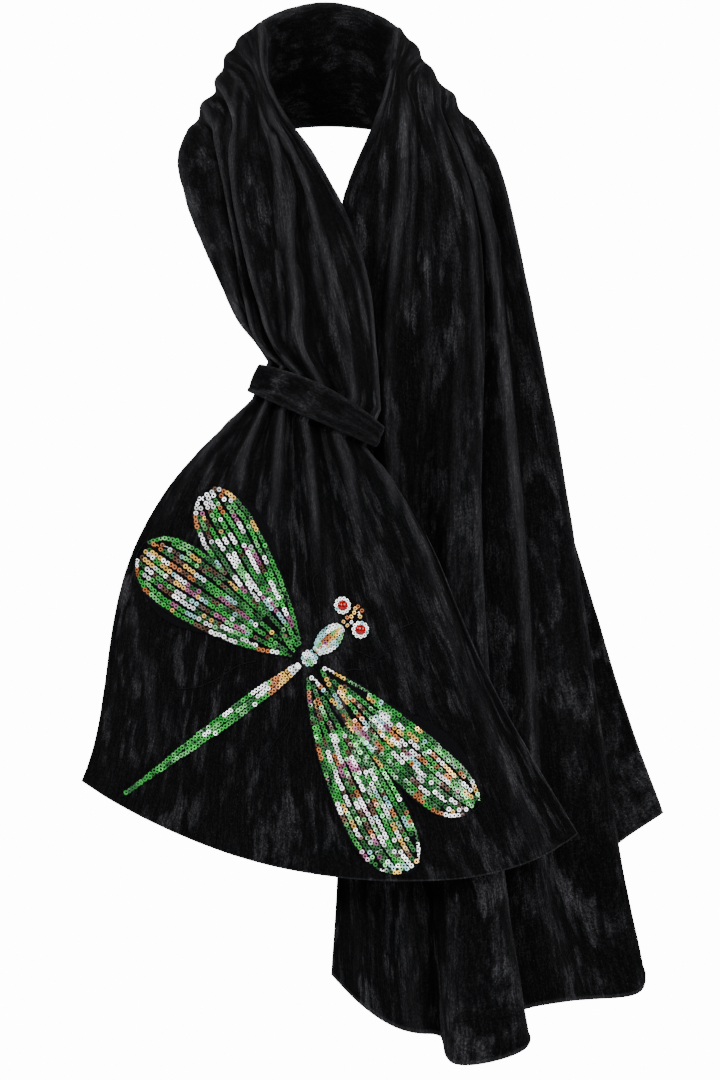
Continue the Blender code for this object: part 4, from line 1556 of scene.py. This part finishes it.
@dataclass
class Dragonfly:
    """The sewn dragonfly: wings, body, head, bead eyes and thread legs."""

    seed: int = 31
    centre: tuple[float, float] = MOTIF_CENTRE
    eye_places: tuple[tuple[str, float, float], ...] = (("eye_left", 32, 52), ("eye_right", 50, 28))
    bead_radius: float = 5.3
    bead_height: float = 3.0
    bead_lift: float = 2.6
    eye_felt: tuple[float, float, float] = (8.8, 8.4, 1.0)
    eye_felt_lift: float = 1.2
    eye_rings: int = 11
    eye_ring_reach: float = 6.9
    eye_ring_lift: float = 2.1
    head_rings: tuple[tuple[float, float], ...] = (
        *((34, 36), (37, 40), (41, 36), (37, 33), (41, 41), (44, 45)),
        *((48, 51), (52, 47), (48, 44), (45, 49), (50, 41)),
    )
    legs: tuple[tuple[tuple[float, float], ...], ...] = (
        ((-70, -530), (-84, -533), (-107, -547), (-128, -556), (-148, -558)),
        ((-28, -561), (-33, -575), (-38, -590), (-49, -606), (-60, -622), (-69, -634), (-71, -639)),
        ((-60, -622), (-58, -632), (-56, -641)),
        ((-45, -561), (-44, -572), (-47, -586)),
        (
            *((18, -515), (27, -519), (35, -522), (44, -526), (52, -527)),
            *((57, -522), (62, -516), (72, -499), (87, -491)),
        ),
        ((10, -524), (14, -531), (20, -539), (27, -538), (35, -539), (42, -535), (49, -538)),
        ((13, -411), (9, -420), (4, -430), (-4, -439), (-13, -448), (-12, -460), (-9, -472)),
    )

    def wings(self) -> list[SequinWing]:
        """The four wings."""
        x, z = self.centre
        rows = (
            # node         across, up, length, width, swing, degrees, leading side, then as sewn
            ("wing_upper", -9, 11, 180, 54, 0.14, -31.0, 1, (182, 57, -0.05)),
            ("wing_lower", -14, 3, 182, 70, -0.14, -55.5, 1, (187, 69, -0.03)),
            ("wing_right", 11, -8, 206, 54, -0.14, 132.5, -1, (210, 58, 0.1)),
            ("wing_base", -1, -15, 224, 66, 0.14, 152.5, -1, (221, 64, 0.11)),
        )
        made = []
        for node, across, up, length, width, swing, degrees, leading, sewn in rows:
            leaf = Leaf(node, (x + across, z + up), length, width, degrees, swing=swing)
            made.append(SequinWing(leaf, leading, *sewn))
        for one, other in ((0, 1), (2, 3)):
            made[one].neighbour, made[other].neighbour = made[other], made[one]
        return made

    def body(self) -> list[Leaf]:
        """The abdomen, thorax and head."""
        rows = (
            # node       start, length, width, degrees, blunt, crown
            ("abdomen", -11, -222, 15, TAIL_LEAN, 0.6, 0.0),
            ("thorax", 7, 40, 25, BODY_LEAN, 1.0, 2.0),
            ("head", 48, 18, 11, BODY_LEAN, 1.0, 1.0),
        )
        made = []
        for node, start, length, width, degrees, blunt, crown in rows:
            turn = math.radians(degrees)
            root = (self.centre[0] + math.sin(turn) * start, self.centre[1] + math.cos(turn) * start)
            made.append(Leaf(node, root, length, width, degrees, blunt=blunt, crown=crown))
        return made

    def build(
        self, cloth_piece: bpy.types.Object, foil: dict[str, bpy.types.Material], cord: bpy.types.Material
    ) -> None:
        """Builds the dragonfly on the fan.

        Args:
            cloth_piece: The fan.
            foil: The sequin, bead and felt materials by name.
            cord: The black cord round the wings, also the legs' thread.
        """
        cloth = Surface(cloth_piece)
        felt = foil["felt"]
        chance = np.random.default_rng(self.seed)
        outlines, wing_lines = [], []
        for wing in self.wings():
            patch = wing.leaf.felt(cloth, felt)
            sequins = RingSequins()
            wing.sew(sequins, Surface(cloth_piece, patch), chance)
            piece = sequins.build(wing.leaf.node + "_sequins", foil["sequin"])
            wing_lines += wing.outline(Surface(cloth_piece, patch))
        abdomen, thorax, head = self.body()
        felts = [cloth_piece]
        for leaf, slot in ((abdomen, "sequins_green"), (thorax, "sequins_pale"), (head, "sequins_gold")):
            patch = leaf.felt(cloth, felt)
            felts.append(patch)
            outlines.append(leaf.outline(cloth))
        raised = Surface(*felts)
        self.sew_abdomen(abdomen, raised, foil["sequin"], chance)
        self.sew_thorax(thorax, raised, foil["sequin"], chance)
        self.sew_head(raised, foil["sequin"], chance)
        cord_piece = thread_piece("body_outline_cord", outlines, BODY_CORD_RADIUS, True, cord)
        cord_piece = thread_piece("wing_outline_cord", wing_lines, WING_CORD_RADIUS, False, cord)
        for name, across, up in self.eye_places:
            self.eye(name, cloth, across, up, foil, chance)
        legs = []
        for leg in self.legs:
            line = np.array(leg, float)
            reach = np.concatenate([[0], np.cumsum(np.linalg.norm(np.diff(line, axis=0), axis=1))])
            places = smooth_curve(reach, line, np.linspace(0, reach[-1], 40))
            legs.append([cloth.above(x, z, LEG_LIFT) for x, z in places])
        leg_piece = thread_piece("thread_legs", legs, LEG_RADIUS, False, cord)

    def sew_abdomen(
        self, leaf: Leaf, cloth: Surface, foil: bpy.types.Material, chance: np.random.Generator
    ) -> None:
        """Sews the long tapering abdomen: copper and gold at the root, then green and silver."""
        sequins = RingSequins()
        greens = run_of(Tint.GREEN, Tint.GREEN, Tint.GREEN, Tint.PALE_GREEN, Tint.SILVER, Tint.DEEP_GREEN)
        warm = run_of(Tint.COPPER, Tint.GOLD, Tint.GOLD, Tint.SILVER)
        for side in (-1, 0, 1):
            row = []
            for share in np.linspace(0.01, 0.99, 200):
                inset = max(leaf.half(share) - 2.4, 0.0)
                if side == 0 and inset < 3.2:
                    continue
                row.append(leaf.place(share, side * inset))
            turn = math.radians(TAIL_LEAN)

            def tint(x: float, z: float, source: np.random.Generator) -> tuple[float, float, float]:
                """Draws a warm colour near the root and a green or silver one beyond."""
                down = (leaf.root[0] - x) * math.sin(turn) + (leaf.root[1] - z) * math.cos(turn)
                return (warm if down < 34 else greens)(x, z, source)

            if len(row) > 2:
                sew_row(row, 3.75, sequins, cloth, chance, tint)
        piece = sequins.build("abdomen_sequins", foil)

    def sew_thorax(
        self, leaf: Leaf, cloth: Surface, foil: bpy.types.Material, chance: np.random.Generator
    ) -> None:
        """Sews the thorax in silver and pale gold, and the round silver knot below it."""
        sequins = RingSequins()
        silver = run_of(Tint.SILVER, Tint.AQUA, Tint.SILVER, Tint.AQUA, Tint.PALE_GREEN)
        pale = run_of(Tint.SILVER, Tint.GOLD, Tint.COPPER, Tint.GOLD, Tint.PALE_GREEN, Tint.MAUVE)
        for share_across in (-0.86, -0.56, -0.28, 0.0, 0.28, 0.56, 0.86):
            row = [leaf.place(s, share_across * (leaf.half(s) - 1.6)) for s in np.linspace(0.08, 0.93, 60)]
            chosen = silver if abs(share_across) > 0.5 else pale
            sew_row(row, 3.5, sequins, cloth, chance, chosen, 0.92)
        x, z = self.centre
        for radius, count in ((0.6, 1), (4.0, 6), (6.6, 10)):
            for i in range(count):
                turn = 2 * math.pi * i / count + radius
                place, normal = cloth.hit(x + radius * math.sin(turn), z + radius * math.cos(turn))
                lean = (normal + Vector(chance.uniform(-0.12, 0.12, 3))).normalized()
                along = Vector((math.cos(turn), 0, -math.sin(turn)))
                tint = silver(x, z, chance)
                sequins.add(place + normal * (1.0 - 0.08 * radius), lean, along, SMALL_RING, tint)
        piece = sequins.build("thorax_sequins", foil)

    def sew_head(self, cloth: Surface, foil: bpy.types.Material, chance: np.random.Generator) -> None:
        """Sews the gold rings of the head between the eyes."""
        sequins = RingSequins()
        gold = run_of(Tint.GOLD, Tint.GOLD, Tint.COPPER, Tint.SILVER)
        for across, up in self.head_rings:
            place, normal = cloth.hit(self.centre[0] + across, self.centre[1] + up)
            lean = (normal + Vector(chance.uniform(-0.15, 0.15, 3))).normalized()
            tint = gold(0.0, 0.0, chance)
            sequins.add(place + normal * 0.8, lean, Vector((1, 0, -1)).normalized(), 0.85, tint)
        piece = sequins.build("head_sequins", foil)

    def eye(
        self,
        name: str,
        cloth: Surface,
        across: float,
        up: float,
        foil: dict[str, bpy.types.Material],
        chance: np.random.Generator,
    ) -> None:
        """Builds one eye: a red bead in a round of silver sequins.

        Args:
            name: The node that the eye stands for.
            cloth: The fan's surface.
            across: Its distance to the right of the motif's centre.
            up: Its distance above the motif's centre.
            foil: The sequin and bead materials by name.
            chance: The seeded source of chance.
        """
        x, z = self.centre[0] + across, self.centre[1] + up
        place, normal = cloth.hit(x, z)
        turned = normal.to_track_quat("Z", "Y").to_matrix()
        shape = bmesh.new()
        bmesh.ops.create_uvsphere(shape, u_segments=32, v_segments=20, radius=self.bead_radius * MM)
        bmesh.ops.scale(shape, verts=shape.verts, vec=(1, 1, self.bead_height / self.bead_radius))
        bmesh.ops.rotate(shape, verts=shape.verts, matrix=turned)
        bmesh.ops.translate(shape, verts=shape.verts, vec=(place + normal * self.bead_lift) * MM)
        bead = add_piece(name + "_bead", mesh_from_bmesh(name + "_bead", shape), foil["bead"])
        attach(bead, "root")
        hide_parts(name)
        shape = bmesh.new()
        low, high, depth = (size * MM for size in self.eye_felt)
        bmesh.ops.create_cone(
            shape, cap_ends=True, segments=32, radius1=low, radius2=high, depth=depth
        )
        bmesh.ops.rotate(shape, verts=shape.verts, matrix=turned)
        bmesh.ops.translate(shape, verts=shape.verts, vec=(place + normal * self.eye_felt_lift) * MM)
        base = add_piece(name + "_felt", mesh_from_bmesh(name + "_felt", shape), foil["felt"])
        base.data.set_sharp_from_angle(angle=math.radians(40))
        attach(base, "root")
        sequins = RingSequins()
        for i in range(self.eye_rings):
            turn = 2 * math.pi * i / self.eye_rings + 0.2
            reach = self.eye_ring_reach
            offset = turned @ Vector((reach * math.cos(turn), reach * math.sin(turn), 0))
            along = turned @ Vector((-math.sin(turn), math.cos(turn), 0))
            lean = (normal + offset * 0.03).normalized()
            tint = Tint.SILVER.value if chance.random() < 0.85 else Tint.AQUA.value
            centre = place + normal * self.eye_ring_lift + offset
            sequins.add(centre, lean, along, SMALL_RING, tint)
        round_piece = sequins.build(name + "_sequins", foil["sequin"])


@dataclass
class Studio:
    """The pale floor, the soft lights and the camera."""

    floor_height: float = -1.45
    floor_radius: float = 3.5
    camera_place: tuple[float, float, float] = (0.033, -7.0, -0.410)
    lens: float = 230.0
    sensor: float = 36.0
    lights: tuple[tuple[str, tuple, tuple, float, float], ...] = (
        # name, place, aimed at, size, watts
        ("key_softbox", (-2.3, -2.6, 1.5), (0.0, -0.1, -0.35), 1.6, 230.0),
        ("fill_softbox", (2.8, -2.2, 0.6), (0.1, -0.1, -0.4), 1.6, 140.0),
        ("front_softbox", (0.5, -4.6, 1.3), (0.0, -0.1, -0.5), 1.3, 230.0),
        ("top_softbox", (0.2, -0.5, 2.4), (0.05, -0.1, -0.3), 1.2, 70.0),
        ("left_edge_softbox", (-2.4, 0.9, -0.1), (0.0, -0.1, -0.4), 1.4, 60.0),
        ("right_edge_softbox", (2.5, 0.9, -0.1), (0.1, -0.1, -0.4), 1.4, 60.0),
    )

    def build(self) -> None:
        """Builds the camera first, then the floor, the lights and the pale surroundings."""
        self.camera()
        self.floor()
        for name, place, target, size, watts in self.lights:
            self.softbox(name, place, target, size, watts)
        self.surroundings()

    def camera(self) -> None:
        """Sets the camera at the front, level with the scarf's middle."""
        data = bpy.data.cameras.new("camera")
        data.lens = self.lens
        data.sensor_width = self.sensor
        data.sensor_fit = "AUTO"
        data.clip_end = 60.0
        camera = add_object("camera", data)
        camera.location = self.camera_place
        camera.rotation_euler = (math.pi / 2, 0, 0)
        bpy.context.scene.camera = camera

    def floor(self) -> None:
        """Lays the round pale floor."""
        shape = bmesh.new()
        bmesh.ops.create_circle(shape, cap_ends=True, segments=96, radius=self.floor_radius)
        bmesh.ops.translate(shape, verts=shape.verts, vec=(0, 0, self.floor_height))
        finish, wiring, shader = new_finish("pale_floor")
        cloud = wiring.noise(wiring.own_place(), 3.0, 2.0)
        pale = wiring.blend(cloud, (0.83, 0.83, 0.84, 1.0), (0.88, 0.88, 0.88, 1.0))
        wiring.fill(shader, {"Base Color": pale, "Roughness": 0.7})
        add_piece("studio_floor", mesh_from_bmesh("studio_floor", shape), finish)

    def softbox(self, name: str, place: tuple, target: tuple, size: float, watts: float) -> None:
        """Adds one square soft light.

        Args:
            name: The light's name.
            place: Where it stands.
            target: The point that it is aimed at.
            size: The length of its side.
            watts: Its power.
        """
        data = bpy.data.lights.new(name, "AREA")
        data.shape = "SQUARE"
        data.size = size
        data.energy = watts
        light = add_object(name, data)
        light.location = place
        light.rotation_euler = (Vector(target) - Vector(place)).to_track_quat("-Z", "Y").to_euler()

    def surroundings(self) -> None:
        """Makes the surroundings white to the camera and a soft even light to the cloth."""
        world = bpy.data.worlds.new("surroundings")
        bpy.context.scene.world = world
        world.use_nodes = True
        tree = world.node_tree
        tree.nodes.clear()
        wiring = Wiring(tree)
        soft = wiring.add("ShaderNodeBackground")
        wiring.fill(soft, {"Color": (0.95, 0.97, 1.0, 1.0), "Strength": 0.3})
        white = wiring.add("ShaderNodeBackground")
        wiring.fill(white, {"Color": (1.0, 1.0, 1.0, 1.0), "Strength": 14.0})
        seen = wiring.add("ShaderNodeLightPath").outputs["Is Camera Ray"]
        mix = wiring.add("ShaderNodeMixShader")
        wiring.fill(mix, {0: seen, 1: soft.outputs[0], 2: white.outputs[0]})
        wiring.fill(wiring.add("ShaderNodeOutputWorld"), {0: mix.outputs[0]})


RIGHT_CREASES = (
    Crease(2.2, 5, ((41, -56), (36, -80), (28, -106))),
    Crease(2.2, 4.5, ((58, 32), (57, -24), (56, -90), (49, -171))),
    Crease(2.5, 4.5, ((75, 74), (79, 32), (77, -52), (74, -82), (68, -130), (63, -170))),
    Crease(-3.0, 4.5, ((85, 46), (92, -3), (96, -90))),
    Crease(2.2, 4.5, ((100, -20), (101, -209), (98, -279), (94, -350))),
    Crease(2.6, 5, ((82, 88), (96, 46), (110, 4), (124, -45), (134, -90))),
    Crease(3.0, 5, ((112, 49), (130, 4), (150, -50), (162, -90), (180, -138), (199, -185))),
    Crease(1.8, 4, ((143, -114), (150, -173))),
    Crease(2.4, 4.5, ((161, -154), (176, -220), (185, -327), (195, -426), (202, -567), (203, -592))),
    Crease(-2.4, 6, ((118, -120), (124, -210), (120, -330), (112, -460))),
    Crease(2.0, 6, ((62, -230), (66, -360), (60, -480), (66, -640))),
    Crease(-2.0, 5, ((150, -260), (156, -380), (166, -520), (176, -660))),
    Crease(1.8, 5, ((230, -420), (248, -560), (262, -700))),
    Crease(-1.6, 5, ((262, -480), (284, -600), (304, -720))),
    Crease(2.0, 7, ((96, -700), (98, -800), (92, -880))),
    Crease(-1.8, 6, ((60, -720), (56, -800), (50, -860))),
    Crease(-2.2, 3.2, ((70, 60), (68, -10), (64, -90), (58, -160))),
    Crease(2.2, 3.2, ((86, 70), (87, 10), (84, -70), (80, -150), (78, -230))),
    Crease(-2.2, 3.4, ((104, 40), (112, -20), (112, -100), (108, -190))),
    Crease(2.0, 3.4, ((122, 20), (138, -40), (146, -110), (150, -200), (152, -300))),
    Crease(-2.0, 3.4, ((136, 20), (158, -40), (174, -110), (186, -190), (196, -270))),
    Crease(-2.0, 3.6, ((46, -190), (44, -300), (46, -420), (50, -560))),
    Crease(2.0, 3.6, ((84, -360), (88, -470), (92, -590), (96, -690))),
    Crease(-2.0, 3.6, ((134, -330), (132, -450), (138, -580), (150, -700))),
    Crease(2.0, 3.6, ((214, -360), (226, -470), (240, -600), (254, -740))),
)
LEFT_CREASES = (
    Crease(2.0, 4, ((-45, -3), (-38, -45), (-33, -90))),
    Crease(-2.2, 4, ((-42, -7), (-31, -45), (-17, -90))),
    Crease(2.0, 4, ((-119, 29), (-124, -24), (-129, -45))),
    Crease(2.4, 5, ((-67, 102), (-81, 81), (-88, 60), (-93, 32), (-97, 4), (-97, -52), (-94, -80))),
    Crease(2.0, 4, ((-78, 54), (-83, 25), (-84, -24))),
    Crease(-3.0, 4, ((-29, -50), (-29, -130), (-21, -146), (-20, -178), (-17, -241))),
    Crease(2.4, 5, ((-25, -50), (-15, -85), (-7, -162), (3, -194), (12, -218), (20, -238), (25, -268))),
    Crease(2.0, 4, ((-31, -178), (-34, -210), (-37, -238))),
    Crease(-2.0, 4.5, ((-60, -60), (-58, -130), (-50, -200), (-46, -240))),
    Crease(1.8, 4, ((-106, -60), (-104, -120), (-90, -180), (-72, -225))),
    Crease(-1.8, 4, ((-118, -70), (-112, -130), (-96, -190))),
    Crease(1.6, 4, ((20, -120), (34, -170), (42, -230))),
    Crease(2.2, 3.2, ((-58, 70), (-56, 20), (-50, -30), (-44, -90), (-42, -150))),
    Crease(-2.2, 3.2, ((-70, 70), (-70, 10), (-68, -60), (-64, -130), (-56, -200))),
    Crease(2.0, 3.2, ((-108, 40), (-112, -20), (-110, -80), (-98, -150), (-80, -210))),
    Crease(-2.0, 3.2, ((-36, 10), (-26, -50), (-12, -110), (0, -160), (8, -215))),
    Crease(2.2, 3.0, ((-50, -100), (-46, -160), (-42, -210), (-40, -240))),
    Crease(-2.0, 3.0, ((-6, -90), (8, -130), (22, -180), (30, -235))),
)
NECK_CREASES = (
    Crease(1.6, 5, ((-20, 112), (10, 110), (49, 112)), 0.2),
    Crease(2.2, 6, ((-8, 88), (18, 78), (46, 66)), 0.3),
    Crease(-2.0, 6, ((-36, 92), (-4, 84), (20, 62)), 0.3),
    Crease(1.8, 5, ((2, 58), (24, 48)), 0.4),
)
FAN_CREASES = (
    Crease(2.4, 5, ((-64, -272), (-87, -305), (-113, -339))),
    Crease(2.2, 5, ((-50, -274), (-58, -313), (-64, -359), (-70, -400))),
    Crease(-2.8, 4.5, ((-23, -285), (-23, -300), (-20, -330))),
    Crease(2.2, 5, ((8, -304), (20, -330), (30, -390), (36, -430))),
    Crease(2.2, 5, ((48, -320), (60, -353), (73, -390))),
    Crease(-2.0, 4, ((-76, -290), (-98, -322), (-126, -358))),
    Crease(2.0, 6, ((-184, -490), (-180, -529), (-174, -579), (-170, -615), (-160, -651), (-142, -697))),
    Crease(-1.6, 5, ((-190, -500), (-187, -540), (-182, -590), (-176, -640))),
    Crease(-1.6, 4, ((216, -702), (228, -710), (238, -718))),
    Crease(-1.6, 9, ((-110, -640), (-60, -660), (-10, -664)), 0.4),
    Crease(1.8, 7, ((96, -440), (124, -520), (142, -600), (156, -680))),
    Crease(-1.8, 6, ((-8, -330), (-4, -400), (-6, -470))),
    Crease(1.6, 6, ((-30, -320), (-40, -380), (-44, -430))),
    Crease(-1.5, 7, ((-120, -400), (-138, -440), (-150, -480))),
)


def main() -> None:
    """Builds the studio, the scarf, its band and its dragonfly, in that order."""
    logging.basicConfig(level=logging.INFO, format="%(message)s")
    Studio().build()
    pile_effect = crushed_pile_group()
    velvet = Velvet("black_crushed_velvet").make(pile_effect)
    band_velvet = Velvet(
        "black_band_velvet", pressed=(0.012, 0.012, 0.0135, 1.0), patch_width=0.03, patch_length=0.02
    ).make(pile_effect)
    # The neck wrap's velvet has a darker pressed colour: painted shade for the shadowed inside of the neck.
    neck_painted_shade_velvet = Velvet("black_neck_painted_shade_velvet", pressed=(0.015, 0.015, 0.0167, 1.0)).make(pile_effect)
    thread = Thread("black_thread", (0.001, 0.001, 0.0012, 1), (0.006, 0.006, 0.007, 1), 1500.0).make()
    felt = Thread("black_felt", (0.0008, 0.0008, 0.001, 1), (0.003, 0.003, 0.0035, 1), 2200.0).make()
    foil = {
        "sequin": SequinFoil("sequin_foil").make(),
        "bead": Bead("red_bead", (0.2, 0.0, 0.0012, 1), (0.07, 0.0, 0.0005, 1)).make(),
        "felt": felt,
    }
    right = RightFall(
        Part.RIGHT_FALL, 230, (0.36, 1.0), 0.36, Held.DRAPED, cloth_way=-1.0, hem=True, creases=RIGHT_CREASES
    )
    neck = NeckWrap(
        Part.NECK_WRAP, 90, (0.34, 0.28), 0.0952, Held.DRAPED, outward=(0.0, 1.0), creases=NECK_CREASES
    )
    left = LeftFall(Part.LEFT_FALL, 130, (0.3, 0.37), 0.105, Held.GATHERED, creases=LEFT_CREASES)
    fan = FanEnd(Part.FAN_END, 150, (0.55, 0.47), 0.18, Held.GATHERED, hem=True, creases=FAN_CREASES)
    right.build(velvet, 0.0)
    _, neck_end = neck.build(neck_painted_shade_velvet, 0.0)
    _, left_end = left.build(velvet, neck_end)
    fan_piece, _ = fan.build(velvet, left_end)
    KeeperBand().build(band_velvet, thread)
    Dragonfly().build(fan_piece, foil, thread)


if __name__ == "__main__":
    main()
